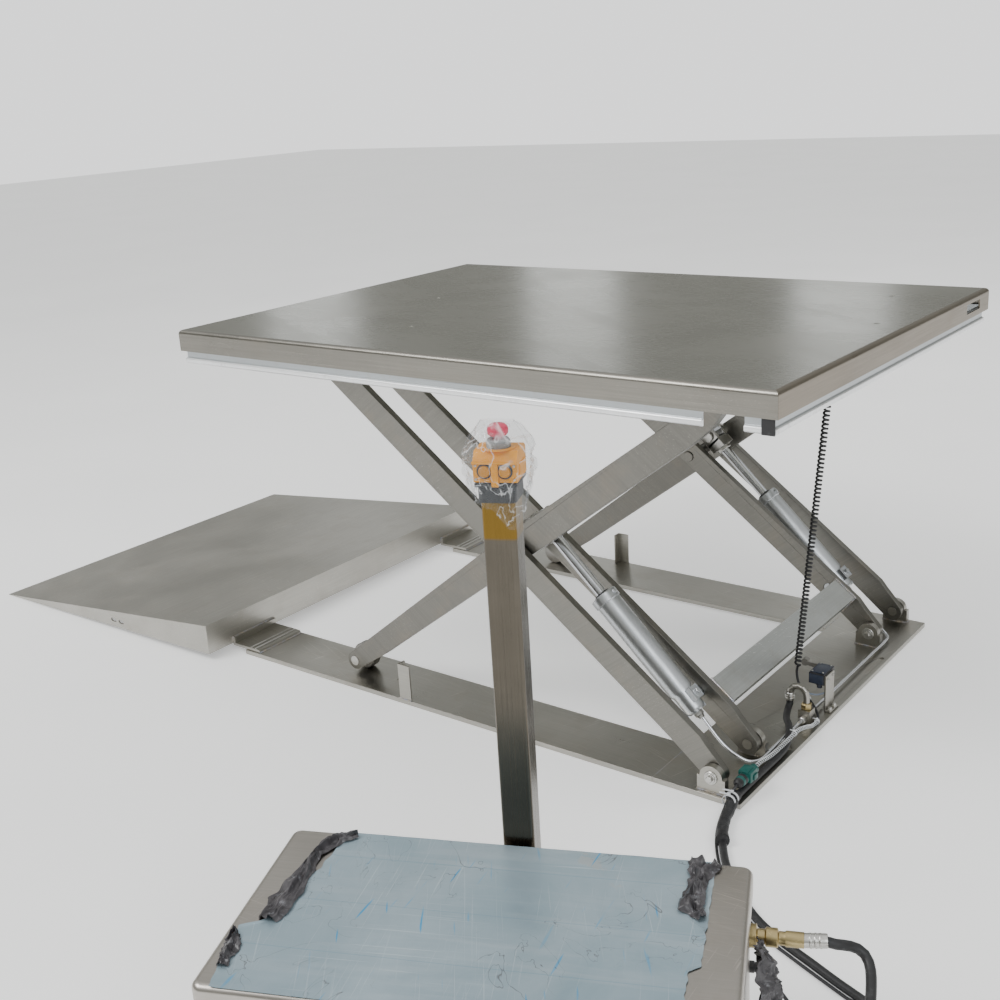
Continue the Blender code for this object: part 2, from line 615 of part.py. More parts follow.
def cables(crimp):
    """The curly cable up to the platform, the switch cable to its connector, and the supply hose."""
    curl_top = Vector((1.484, 0.510, TOP - DECK_THICK - 0.0025))
    curl_foot, curl_r = Vector((1.411, 0.510, 0.105)), 0.0085
    count = 48
    tube("curly_cable", [curl_top.lerp(curl_foot, i / count) for i in range(count + 1)], curl_r, HOSE)

    plug = Vector((1.487, 0.110, 0.0460))
    plug_half, cable_r = 0.035, 0.003
    way = (curl_foot - curl_top).normalized()
    corners = [curl_foot + way * 2 * GAP, curl_foot + way * 0.016, (1.418, 0.503, 0.068)]
    corners += [(1.440, 0.490, 0.052), (1.472, 0.474, 0.030), (1.4895, 0.450, 0.0185), (1.4930, 0.415, 0.0200)]
    corners += [(1.493, 0.380, 0.032), (1.492, 0.340, 0.0420), (1.491, 0.290, 0.0405)]
    corners += [(1.489, 0.220, 0.0400), (plug.x, 0.172, plug.z), (plug.x, plug.y + plug_half + GAP, plug.z)]
    tube("switch_cable", smooth_line(corners, 0.009), cable_r, HOSE)
    body = [(0, 0), (0.0105, 0), (0.0115, 0.002), (0.0115, 0.026), (0.0140, 0.028), (0.0140, 0.046)]
    body += [(0.0105, 0.048), (0.0105, 0.066), (0.0070, 0.070), (0, 0.070)]
    turned("cable_connector", body, plug + Vector((0, -plug_half, 0)), (0, 1, 0), TEAL, sides=24)

    hose_r = 0.008
    floor_z = hose_r + 0.0005
    on_plate = PLATE + floor_z
    fitting = unit_place(UNIT_SIZE[0] / 2 + OUTLET_REACH + GAP, *OUTLET)
    outward = (unit_place(1, 0, 0) - unit_place(0, 0, 0)).normalized()
    corners = [crimp + Vector((0, 0, -GAP)), crimp + Vector((0, 0, -0.010)), (1.428, 0.424, 0.0375)]
    corners += [(1.444, 0.384, 0.0385), (1.466, 0.350, 0.0415), (1.483, 0.310, 0.030)]
    corners += [(1.487, 0.270, on_plate)]
    corners += [(1.487, 0.180, on_plate), (1.487, 0.090, on_plate), (1.488, 0.054, on_plate)]
    corners += [(1.490, 0.038, on_plate - 0.002), (1.494, 0.018, on_plate - 0.008), (1.500, -0.010, floor_z)]
    corners += [(1.525, -0.070, floor_z), (1.590, -0.165, floor_z)]
    corners += [(1.700, -0.265, floor_z)]
    corners += [(1.850, -0.330, floor_z), (2.000, -0.390, floor_z), (2.095, -0.480, floor_z)]
    corners += [(2.125, -0.580, 0.016), (2.110, -0.660, 0.060), (2.065, -0.700, 0.140)]
    corners += [fitting + outward * 0.090 + Vector((0, 0, -0.032)), fitting + outward * 0.035, fitting]
    line = smooth_line(corners, 0.026)
    line.insert(1, corners[1])
    tube("supply_hose", line, hose_r, HOSE)


# Power unit and control station
def unit_place(x, y, z):
    """A point of the power unit's own frame, in table coordinates."""
    c, s = math.cos(UNIT_TURN), math.sin(UNIT_TURN)
    return Vector((UNIT_AT[0] + x * c - y * s, UNIT_AT[1] + x * s + y * c, z))


def on_unit(bm):
    turn = Matrix.Rotation(UNIT_TURN, 4, "Z")
    shift = Matrix.Translation((UNIT_AT[0], UNIT_AT[1], 0))
    bmesh.ops.transform(bm, matrix=shift @ turn, verts=bm.verts)
    return bm


def rounded(wide, deep, radius, steps=5):
    """A rectangle about the origin with round corners."""
    points = []
    for sx, sy, start in ((1, 1, 0), (-1, 1, 90), (-1, -1, 180), (1, -1, 270)):
        points += arc((sx * (wide / 2 - radius), sy * (deep / 2 - radius)), radius, start, start + 90, steps)
    return points


def power_unit():
    """A bottomless sheet case under a shallow lid with rounded edges."""
    wide, deep, high = UNIT_SIZE
    wall, lid_high = 0.003, 0.034
    split = high - lid_high
    case_wide, case_deep = wide - 2 * CASE_INSET, deep - 2 * CASE_INSET
    outside = rounded(case_wide, case_deep, 0.010)
    case = add("power_unit_case", on_unit(prism_mesh(outside, 0, split, "z")), STEEL)
    inside = rounded(case_wide - 2 * wall, case_deep - 2 * wall, 0.008)
    cut(case, on_unit(prism_mesh(inside, -0.01, split + 0.01, "z")))

    bm = bmesh.new()
    rings = []
    edge = 0.010
    levels = [(0, split + GAP)]
    for turn in range(0, 91, 15):
        out, up = math.cos(math.radians(turn)), math.sin(math.radians(turn))
        levels.append((edge - edge * out, high - edge + edge * up))
    for inset, z in levels:
        shape = rounded(wide - 2 * inset, deep - 2 * inset, 0.016 - inset)
        ring = [bm.verts.new((x, y, z)) for x, y in shape]
        rings.append(ring)
    bm.faces.new(rings[0])
    bm.faces.new(rings[-1])
    for one, two in zip(rings, rings[1:]):
        for i in range(len(one)):
            j = (i + 1) % len(one)
            bm.faces.new((one[i], one[j], two[j], two[i]))
    lid = add("power_unit_lid", on_unit(bm), STEEL, smooth=True)
    under = rounded(wide - 2 * wall, deep - 2 * wall, 0.013)
    cut(lid, on_unit(prism_mesh(under, split - 0.01, high - edge, "z")))

    start = unit_place(wide / 2 - CASE_INSET + GAP, *OUTLET)
    outward = unit_place(1, 0, 0) - unit_place(0, 0, 0)
    tip = OUTLET_REACH + CASE_INSET - 0.001
    nut = [(0, 0), (0.017, 0), (0.017, 0.012), (0.011, 0.014), (0.011, 0.024), (0.014, 0.026)]
    nut += [(0.014, 0.042), (0.010, 0.044), (0.010, 0.052), (0.0115, 0.054), (0.0115, tip), (0, tip)]
    turned("hose_fitting", nut, start, outward, BRASS, sides=24)


def control_station():
    """A square post with a yellow push-button box and a red mushroom button on top."""
    px, py = POST_AT

    def place(bm):
        bmesh.ops.translate(bm, verts=bm.verts, vec=(px, py, 0))
        return on_unit(bm)

    post = add("post", place(prism_mesh(rounded(POST_WIDE, POST_WIDE, 0.005), 0, POST_TOP, "z")), STEEL)
    bore = rounded(POST_WIDE - 0.006, POST_WIDE - 0.006, 0.003)
    cut(post, place(prism_mesh(bore, -0.01, POST_TOP - 0.003, "z")))

    foot_top = 0.886
    foot_shape = rounded(0.056, 0.058, 0.008)
    add("station_foot", place(prism_mesh(foot_shape, POST_TOP + GAP, foot_top, "z")), BLACK)
    half_wide, half_deep, top = 0.032, 0.030, 0.930
    side = [(-half_deep, foot_top + GAP), (half_deep, foot_top + GAP), (half_deep, top - 0.006)]
    side += [(half_deep - 0.006, top), (-half_deep + 0.012, top), (-half_deep, top - 0.014)]
    housing = add("station_housing", place(prism_mesh(side, -half_wide, half_wide, "x")), YELLOW)
    front = unit_place(0, -1, 0) - unit_place(0, 0, 0)
    button_x, button_z, button_r, bore_deep = 0.0148, 0.903, 0.0085, 0.010
    for name, x in (("up_button", -button_x), ("down_button", button_x)):
        middle = unit_place(px + x, py - half_deep, button_z)
        cut(housing, rod_mesh(middle + front * 0.01, middle - front * bore_deep, button_r + 0.0005, 24))
        cap = [(0, -0.005), (button_r, -0.005), (button_r, 0.0045), (button_r - 0.001, 0.006), (0, 0.006)]
        turned(name, cap, middle, front, GREY, middle, sides=28)
    above = unit_place(px, py, top + GAP)
    ring = [(0.0080, 0), (0.0175, 0), (0.0175, 0.009), (0.0150, 0.013), (0.0080, 0.013)]
    turned("estop_collar", ring, above, (0, 0, 1), GREY, sides=36)
    stem = [(0, 0.0055), (0.0070, 0.0055), (0.0070, 0.0175), (0.0125, 0.0175), (0.0150, 0.0205)]
    stem += [(0.0155, 0.025), (0.0143, 0.030), (0.0105, 0.0335), (0, 0.0345)]
    turned("estop_button", stem, above, (0, 0, 1), RED, above, sides=36)


def centre_on_origin():
    """Moves everything so the solids' bounding box, cords left out, sits centred on the origin."""
    bpy.context.view_layer.update()
    graph = bpy.context.evaluated_depsgraph_get()
    low, high = Vector((9, 9, 9)), Vector((-9, -9, -9))
    for made in bpy.data.objects:
        if made.hide_render or made.name in CORDS:
            continue
        for corner in made.evaluated_get(graph).bound_box:
            at = made.matrix_world @ Vector(corner)
            low = Vector(map(min, low, at))
            high = Vector(map(max, high, at))
    shift = Vector((-(low.x + high.x) / 2, -(low.y + high.y) / 2, -low.z))
    for made in bpy.data.objects:
        made.location += shift


base_frame()
platform_stops()
ramp_brackets()
pivot_lugs()
ramp()
platform()
fascias()
trip_frame()
platform_lugs()
cylinder_arm()
crossing_arms()
rollers()
cylinders()
cables(tee_and_line())
limit_switch()
power_unit()
control_station()
centre_on_origin()
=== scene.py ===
"""Looks of a low stainless scissor lift table with its ramp, power unit and control post.

Table coordinates run along the platform (x), across it (y) and up (z) from the platform's near left
corner on the floor; at() turns them into the frame. Everything is in metres.
"""

import json
import random
from itertools import pairwise
from math import asin, cos, pi, radians, sin

import bmesh
import bpy
from mathutils import Matrix, Vector, noise


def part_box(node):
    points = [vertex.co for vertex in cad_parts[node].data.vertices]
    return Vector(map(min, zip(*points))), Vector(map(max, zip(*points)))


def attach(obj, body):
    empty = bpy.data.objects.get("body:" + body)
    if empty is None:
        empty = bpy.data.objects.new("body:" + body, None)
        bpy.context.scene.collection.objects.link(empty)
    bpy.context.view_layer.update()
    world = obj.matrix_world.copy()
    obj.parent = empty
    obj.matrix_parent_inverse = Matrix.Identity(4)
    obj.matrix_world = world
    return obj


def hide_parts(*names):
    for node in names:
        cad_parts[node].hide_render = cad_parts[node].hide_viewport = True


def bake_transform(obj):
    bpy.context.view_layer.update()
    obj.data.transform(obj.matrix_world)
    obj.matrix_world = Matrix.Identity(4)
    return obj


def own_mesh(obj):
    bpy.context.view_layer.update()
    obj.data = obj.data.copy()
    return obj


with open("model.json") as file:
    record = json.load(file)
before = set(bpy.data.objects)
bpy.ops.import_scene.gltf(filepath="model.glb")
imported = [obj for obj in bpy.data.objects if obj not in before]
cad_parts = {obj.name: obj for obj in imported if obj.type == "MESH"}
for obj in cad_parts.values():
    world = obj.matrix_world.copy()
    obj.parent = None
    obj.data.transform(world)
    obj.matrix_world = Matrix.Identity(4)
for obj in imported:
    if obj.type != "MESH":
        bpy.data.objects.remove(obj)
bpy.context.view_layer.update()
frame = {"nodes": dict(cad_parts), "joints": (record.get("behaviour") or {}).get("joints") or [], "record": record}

JOINTS = {joint["name"]: joint for joint in frame["joints"]}
ORIGIN = Vector((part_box("fascia_left")[0].x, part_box("fascia_front")[0].y, 0))
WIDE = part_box("fascia_back")[1].y - ORIGIN.y
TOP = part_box("deck")[1].z
PLATE_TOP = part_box("base_end_plate")[1].z
GAP = 0.0003
SIDES = (("near", 1), ("far", -1))
UP = Vector((0, 0, 1))
Y_WAY = Vector((0, 1, 0))

BASE_PIVOT = Vector(JOINTS["lift"]["pos_m"])
PLATFORM_PIVOT = Vector(JOINTS["platform_pivot"]["pos_m"])
CENTRE_PIVOT = Vector(JOINTS["centre_pivot"]["pos_m"])
ARM_WAY = (CENTRE_PIVOT - BASE_PIVOT).normalized()
ARM_UP = Y_WAY.cross(ARM_WAY)
LIFT_ANGLE = asin(ARM_WAY.z)

# The power unit and the post stand turned on the floor; UNIT_END is from the lid's middle to the case's end.
UNIT_TURN = radians(23.95)
UNIT_MATRIX = Matrix.Rotation(UNIT_TURN, 3, "Z")
UNIT_WAY = UNIT_MATRIX @ Vector((1, 0, 0))
UNIT_END = 0.363
LID_LOW, LID_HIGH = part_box("power_unit_lid")
POST_LOW, POST_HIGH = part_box("post")


def at(x, y, z=0.0):
    """A point given in table coordinates."""
    return ORIGIN + Vector((x, y, z))


def spots(*points):
    """Several points given in table coordinates."""
    return [at(*point) for point in points]


def turned_from(low, high, x, y, z):
    """A point given from the middle line of a box, in the power unit's directions."""
    turned = UNIT_MATRIX @ Vector((x, y, 0))
    return Vector(((low.x + high.x) / 2 + turned.x, (low.y + high.y) / 2 + turned.y, z))


def on_unit(x, y, z):
    """A point of the power unit: x along it, y across it, from the middle of its lid."""
    return turned_from(LID_LOW, LID_HIGH, x, y, z)


def on_post(x, y, z):
    """A point given from the post's middle line."""
    return turned_from(POST_LOW, POST_HIGH, x, y, z)


def facing(node, way, pivot=None):
    """The point where a pivot's line, or the middle of a node's box, meets the node's face toward way."""
    low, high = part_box(node)
    middle = (low + high) / 2 if pivot is None else pivot
    return Vector((middle.x, low.y if way.y < 0 else high.y, middle.z))


def cylinder_line(side):
    """The point that a cylinder's foot turns on and the way that its rod slides out."""
    foot = Vector(JOINTS[f"barrel_{side}_pivot"]["pos_m"])
    return foot, Vector(JOINTS[f"rod_{side}_slide"]["axis"]).normalized()


def link(name, data):
    """Puts a new object in the scene."""
    made = bpy.data.objects.new(name, data)
    bpy.context.scene.collection.objects.link(made)
    return made


# Camera and light


def make_camera():
    yaw, pitch, roll = radians(-38.28), radians(18.08), radians(-3.49)
    forward = Vector((sin(yaw) * cos(pitch), cos(yaw) * cos(pitch), -sin(pitch)))
    right = Vector((cos(yaw), -sin(yaw), 0))
    up = right.cross(forward)
    level = cos(roll) * right + sin(roll) * up
    upright = cos(roll) * up - sin(roll) * right
    data = bpy.data.cameras.new("camera")
    data.lens = 46.31
    data.sensor_width = 36
    made = link("camera", data)
    turn = Matrix((level, upright, -forward)).transposed()
    made.matrix_world = Matrix.Translation(at(2.5525, -1.9995, 1.424)) @ turn.to_4x4()
    bpy.context.scene.camera = made


def soft_light(name, place, aim, size, power, colour=(1, 1, 1), shiny=True):
    data = bpy.data.lights.new(name, "AREA")
    data.shape = "RECTANGLE"
    data.size, data.size_y = size
    data.energy = power
    data.color = colour
    made = link(name, data)
    made.location = place
    made.rotation_euler = (Vector(aim) - Vector(place)).to_track_quat("-Z", "Y").to_euler()
    made.visible_glossy = shiny


def make_lights():
    middle = at(0.8, 0.57, 0.5)
    soft_light("key", at(-1.6, -3.2, 5.0), middle, (3.4, 2.6), 230)
    soft_light("fill", at(4.8, -2.2, 2.6), middle, (2.4, 2.4), 60, (0.93, 0.97, 1.0))
    soft_light("back", at(3.4, 5.0, 5.2), middle, (3.0, 2.2), 120, shiny=False)
    for x, y in ((-4.2, 4.5), (-2.6, 5.5), (-0.9, 6.2)):
        soft_light("window", at(x, y, 1.95), at(0.9, 0.6, 0.9), (0.62, 0.95), 3, (0.95, 0.98, 1.0))


# Material graphs

LOOKS = {}


class Graph:
    def __init__(self, name, kind="materials"):
        self.name = name
        self.owner = getattr(bpy.data, kind).new(name)
        self.owner.use_nodes = True
        self.tree = self.owner.node_tree
        self.tree.nodes.clear()
        self.coordinates = self.add("TexCoord").outputs
        self.place = self.coordinates["Object"]

    def add(self, kind, settings=None, **sockets):
        made = self.tree.nodes.new("ShaderNode" + kind)
        for key, value in (settings or {}).items():
            setattr(made, key, value)
        for key, value in sockets.items():
            self.put(made.inputs[key], value)
        return made

    def put(self, socket, value):
        if isinstance(value, bpy.types.NodeSocket):
            self.tree.links.new(value, socket)
        elif socket.type == "RGBA" and len(value) == 3:
            socket.default_value = (*value, 1)
        else:
            socket.default_value = value

    def turned(self, turn, scale):
        """Coordinates turned to a direction and then stretched."""
        straight = self.add("Mapping", Vector=self.place, Rotation=turn).outputs[0]
        return self.add("Mapping", Vector=straight, Scale=scale).outputs[0]

    def part(self, vector, index):
        return self.add("SeparateXYZ", Vector=vector).outputs[index]

    def noise(self, scale, detail=3.0, roughness=0.5, distortion=0.0, place=None):
        settings = {"Scale": scale, "Detail": detail, "Roughness": roughness, "Distortion": distortion}
        return self.add("TexNoise", Vector=place or self.place, **settings).outputs["Fac"]

    def streaks(self, turn, stretch, *settings):
        """Noise drawn out along one direction."""
        return self.noise(1.0, *settings, place=self.turned(turn, stretch))

    def spread(self, value, low, high, to_low=0.0, to_high=1.0):
        """The range low to high becomes to_low to to_high, and stops there."""
        made = self.add("MapRange", Value=value)
        for index, number in enumerate((low, high, to_low, to_high)):
            made.inputs[index + 1].default_value = number
        return made.outputs[0]

    def math(self, operation, first, *others):
        """One operation on the first value and each other value in turn."""
        for other in others or (0.0,):
            made = self.add("Math", {"operation": operation})
            self.put(made.inputs[0], first)
            self.put(made.inputs[1], other)
            first = made.outputs[0]
        return first

    def times(self, *values):
        return self.math("MULTIPLY", *values)

    def plus(self, *values):
        return self.math("ADD", *values)

    def highest(self, *values):
        return self.math("MAXIMUM", *values)

    def thin_lines(self, value, half_wide, strong=1.0):
        """Lines where a value passes through a half."""
        distance = self.math("ABSOLUTE", self.math("SUBTRACT", value, 0.5))
        return self.spread(distance, 0.0, half_wide, strong, 0.0)

    def mix(self, share, one, two):
        made = self.add("Mix", {"data_type": "RGBA"})
        for index, value in ((0, share), (6, one), (7, two)):
            self.put(made.inputs[index], value)
        return made.outputs[2]

    def between(self, value, low, high, one, two):
        """From one colour to the other as a value goes from low to high."""
        return self.mix(self.spread(value, low, high), one, two)

    def stain(self, base, where, share, colour):
        return self.mix(self.times(where, share), base, colour)

    def scratches(self, turn, length=5.0, fine=420.0, low=0.66, seed=0.0):
        """Thin straight marks along one direction, gathered in patches."""
        way = (turn[0], turn[1], turn[2] + seed)
        lines = self.spread(self.streaks(way, (length, fine, fine), 1.0), low, low + 0.05)
        return self.times(lines, self.spread(self.noise(4.0 + seed, 2.0), 0.45, 0.62))

    def finish(self, base, roughness, height=None, depth=0.001, strength=0.3, **sockets):
        shader = self.add("BsdfPrincipled", **sockets)
        self.put(shader.inputs["Base Color"], base)
        self.put(shader.inputs["Roughness"], roughness)
        if height is not None:
            bump = self.add("Bump", Height=height, Distance=depth, Strength=strength)
            self.put(shader.inputs["Normal"], bump.outputs[0])
        self.add("OutputMaterial", Surface=shader.outputs[0])
        LOOKS[self.name] = self.owner


def shade(colour, by):
    return tuple(min(1.0, part * by) for part in colour)


def brushed(name, tone, rough, turn=(0, 0, 0), grain=(5.0, 330.0, 330.0), marks=1.0):
    """Ground sheet or plate: fine lines along one direction, cloudy handling marks and thin scratches."""
    g = Graph(name)
    lines = g.streaks(turn, grain, 5.0, 0.6)
    clouds = g.noise(3.2, 4.0, 0.6, 0.4)
    blots = g.spread(g.noise(11.0, 5.0, 0.65), 0.5, 0.72)
    cuts = g.highest(g.scratches(turn, seed=0.35), g.scratches(turn, 9.0, 300.0, 0.69, 1.9))
    base = g.between(clouds, 0.35, 0.68, shade(tone, 0.89), shade(tone, 1.05))
    base = g.mix(g.spread(lines, 0.3, 0.7, 0.0, 0.3), base, shade(tone, 0.62))
    base = g.stain(base, blots, 0.28 * marks, (0.36, 0.31, 0.25))
    base = g.stain(base, cuts, 0.55 * marks, shade(tone, 1.5))
    line_rough = g.spread(lines, 0.25, 0.75, rough - 0.05, rough + 0.08)
    cloud_rough = g.spread(clouds, 0.35, 0.7, -0.01, 0.05)
    roughness = g.plus(line_rough, cloud_rough, g.times(blots, 0.1 * marks))
    height = g.plus(lines, g.times(cuts, -0.8))
    g.finish(base, roughness, height, 0.0002, 0.25, Metallic=1.0, Anisotropic=0.25)


def rolled(name, tone, rough):
    """Cold-rolled sheet: almost smooth, gently wavy, with smudged patches and a few long scratches."""
    g = Graph(name)
    waves = g.streaks((0, 0, 0.2), (1.6, 2.6, 2.6), 2.0, 0.4, 0.2)
    clouds = g.noise(2.3, 5.0, 0.62, 0.7)
    grain = g.streaks((0, 0, 0), (7, 520, 520), 4.0, 0.6)
    wiped = g.spread(g.streaks((0, 0, 0.6), (2.0, 9.0, 9.0), 4.0, 0.6), 0.52, 0.74)
    cuts = g.highest(g.scratches((0, 0, 0.5), 3.0, 380.0, 0.7), g.scratches((0, 0, 2.2), 4.0, 420.0, 0.71))
    base = g.between(clouds, 0.34, 0.68, shade(tone, 0.92), shade(tone, 1.04))
    base = g.stain(base, wiped, 0.16, shade(tone, 0.78))
    base = g.stain(base, cuts, 0.5, shade(tone, 1.5))
    cloud_rough = g.spread(clouds, 0.34, 0.7, rough - 0.02, rough + 0.04)
    roughness = g.plus(cloud_rough, g.times(wiped, 0.04), g.spread(grain, 0.3, 0.7, 0.0, 0.04))
    height = g.plus(g.times(waves, 3.0), g.times(grain, 0.05))
    g.finish(base, roughness, height, 0.0012, 0.2, Metallic=1.0)


def trip_extrusion(name, lip, web, lip_top, rough):
    """Extruded bar: its lower lip painted near white as a highlight, and a greyer web above it."""
    g = Graph(name)
    lines = g.streaks((0, 0, 0), (3, 3, 700), 4.0, 0.6)
    clouds = g.noise(6.0, 4.0, 0.6, 0.3)
    marks = g.spread(g.noise(45.0, 4.0, 0.65), 0.56, 0.72)
    # Painted highlight: below lip_top the bar takes the near-white lip colour, standing in for light on its
    # slanted lip.
    base = g.between(g.part(g.place, 2), lip_top - 0.001, lip_top + 0.001, lip, web)
    base = g.mix(g.spread(clouds, 0.35, 0.7, 0.0, 0.14), base, (0.3, 0.3, 0.29))
    base = g.stain(base, marks, 0.25, (0.4, 0.38, 0.34))
    roughness = g.spread(lines, 0.25, 0.75, rough - 0.04, rough + 0.1)
    g.finish(base, roughness, lines, 0.0002, 0.25, Metallic=0.85)


def polished(name, tone, rough, turn):
    """Hard chrome: faint lines round the rod and a film of oil."""
    g = Graph(name)
    lines = g.streaks(turn, (900.0, 6.0, 6.0), 2.0)
    film = g.noise(30.0, 4.0, 0.6, 0.5)
    base = g.between(film, 0.4, 0.7, shade(tone, 0.88), tone)
    roughness = g.plus(g.spread(film, 0.4, 0.7, rough, rough + 0.1), g.spread(lines, 0.4, 0.6, 0.0, 0.03))
    g.finish(base, roughness, lines, 0.0001, 0.15, Metallic=1.0)


def moulded(name, tone, rough, fine=900.0, wear=0.25):
    """Moulded plastic or rubber: a fine texture, slightly uneven colour and rubbed, dusty patches."""
    g = Graph(name)
    texture = g.noise(fine, 3.0, 0.6)
    clouds = g.noise(26.0, 4.0, 0.6, 0.3)
    dust = g.spread(g.noise(60.0, 5.0, 0.7), 0.54, 0.72)
    base = g.between(clouds, 0.35, 0.68, shade(tone, 0.82), shade(tone, 1.1))
    base = g.stain(base, dust, wear, tuple(0.5 * part + 0.12 for part in tone))
    roughness = g.plus(g.spread(clouds, 0.35, 0.7, rough - 0.05, rough + 0.06), g.times(dust, 0.12))
    g.finish(base, roughness, texture, 0.0002, 0.35)


def weld_metal(name):
    g = Graph(name)
    spatter = g.noise(420.0, 4.0, 0.7)
    base = g.between(g.noise(60.0, 2.0), 0.35, 0.65, (0.5, 0.44, 0.36), (0.42, 0.43, 0.48))
    g.finish(base, g.spread(spatter, 0.3, 0.7, 0.28, 0.5), spatter, 0.0006, 0.6, Metallic=1.0)


def film_blue(name):
    """Pale blue protective film stuck to steel, scuffed, scribbled with scratches and slightly rucked."""
    g = Graph(name)
    turn = (0, 0, -UNIT_TURN)
    clouds = g.noise(5.0, 5.0, 0.62, 0.6)
    rucks = g.streaks(turn, (3.0, 30.0, 30.0), 5.0, 0.6, 0.8)
    scribble = g.thin_lines(g.noise(7.0, 3.0, 0.5, 2.4), 0.0045)
    scribble = g.times(scribble, g.spread(g.noise(6.3, 1.0), 0.48, 0.58))
    cuts = g.scratches((0, 0, 0.9), 4.0, 260.0, 0.66)
    for angle, seed in ((2.3, 0.4), (0.1, 1.1), (1.5, 2.7)):
        cuts = g.highest(cuts, g.scratches((0, 0, angle), 5.0, 300.0, 0.68, seed))
    torn = g.spread(g.noise(3.4, 6.0, 0.7, 0.4), 0.62, 0.64)
    strokes = g.scratches((0, 0, 1.2), 9.0, 110.0, 0.7, 3.3)
    strokes = g.highest(strokes, g.scratches((0, 0, 0.2), 9.0, 120.0, 0.71, 0.7))
    seams_per_metre = 9.0
    across = g.times(g.part(g.turned(turn, (1, 1, 1)), 1), seams_per_metre)
    seam = g.thin_lines(g.math("FRACT", across), 0.01, 0.6)
    base = g.between(clouds, 0.33, 0.7, (0.235, 0.325, 0.375), (0.335, 0.42, 0.465))
    base = g.mix(g.spread(rucks, 0.5, 0.75, 0.0, 0.35), base, (0.47, 0.53, 0.56))
    base = g.stain(base, torn, 0.5, (0.4, 0.4, 0.38))
    base = g.stain(base, cuts, 0.3, (0.62, 0.7, 0.73))
    base = g.mix(strokes, base, (0.04, 0.3, 0.56))
    base = g.mix(seam, base, (0.16, 0.27, 0.35))
    base = g.stain(base, scribble, 0.85, (0.1, 0.09, 0.09))
    height = g.plus(rucks, g.times(cuts, -0.4))
    g.finish(base, g.spread(clouds, 0.3, 0.7, 0.26, 0.44), height, 0.0012, 0.35, Metallic=0.35)


def film_grey(name):
    """Peeled protective film, adhesive side out, dark and dirty, with lighter streaks painted as highlights on its
    wrinkles.
    """
    g = Graph(name)
    dirt = g.noise(40.0, 4.0, 0.6)
    streaks = g.streaks((0.4, 0.3, 0.2), (30, 120, 120), 3.0, 0.6)
    base = g.between(dirt, 0.35, 0.65, (0.022, 0.02, 0.023), (0.085, 0.08, 0.086))
    # Painted highlight: lighter grey streaks stand in for light catching the film's wrinkles.
    base = g.mix(g.spread(streaks, 0.6, 0.78, 0.0, 0.5), base, (0.34, 0.35, 0.38))
    g.finish(base, g.spread(dirt, 0.3, 0.7, 0.24, 0.42), streaks, 0.0006, 0.3)


def film_clear(name):
    """Thin clear bag: mostly see-through, painted whiter along its creases as highlights."""
    g = Graph(name)
    creases = g.noise(17.0, 2.0, 0.5, 1.1)
    lines = g.thin_lines(creases, 0.022)
    wide = g.spread(g.noise(30.0, 3.0, 0.55, 0.6), 0.52, 0.72)
    crease_highlight_and_haze = g.highest(lines, g.times(wide, 0.14))
    # Painted highlight: crease lines are coloured near white and made less see-through; the wide patches add a
    # faint milky haze of the film.
    base = g.mix(lines, (0.3, 0.32, 0.34), (0.92, 0.93, 0.94))
    g.finish(base, 0.1, creases, 0.004, 0.5, Alpha=g.spread(crease_highlight_and_haze, 0.0, 1.0, 0.13, 0.5))


def amber_steel(name, tone, rough, low, high):
    """The post's brushed tube, with a strip of amber packing film left near its top."""
    g = Graph(name)
    lines = g.streaks((0, pi / 2, 0), (5, 330, 330), 5.0, 0.6)
    clouds = g.noise(5.0, 4.0, 0.6, 0.3)
    ragged = g.plus(g.part(g.place, 2), g.times(clouds, 0.012))
    strip = g.times(g.spread(ragged, low, low + 0.004), g.spread(ragged, high, high - 0.004))
    base = g.between(clouds, 0.35, 0.68, shade(tone, 0.78), shade(tone, 1.05))
    base = g.mix(g.spread(lines, 0.3, 0.7, 0.0, 0.3), base, shade(tone, 0.62))
    base = g.stain(base, strip, 0.8, (0.2, 0.115, 0.012))
    g.finish(base, g.spread(lines, 0.25, 0.75, rough - 0.05, rough + 0.1), lines, 0.0002, 0.25, Metallic=1.0)


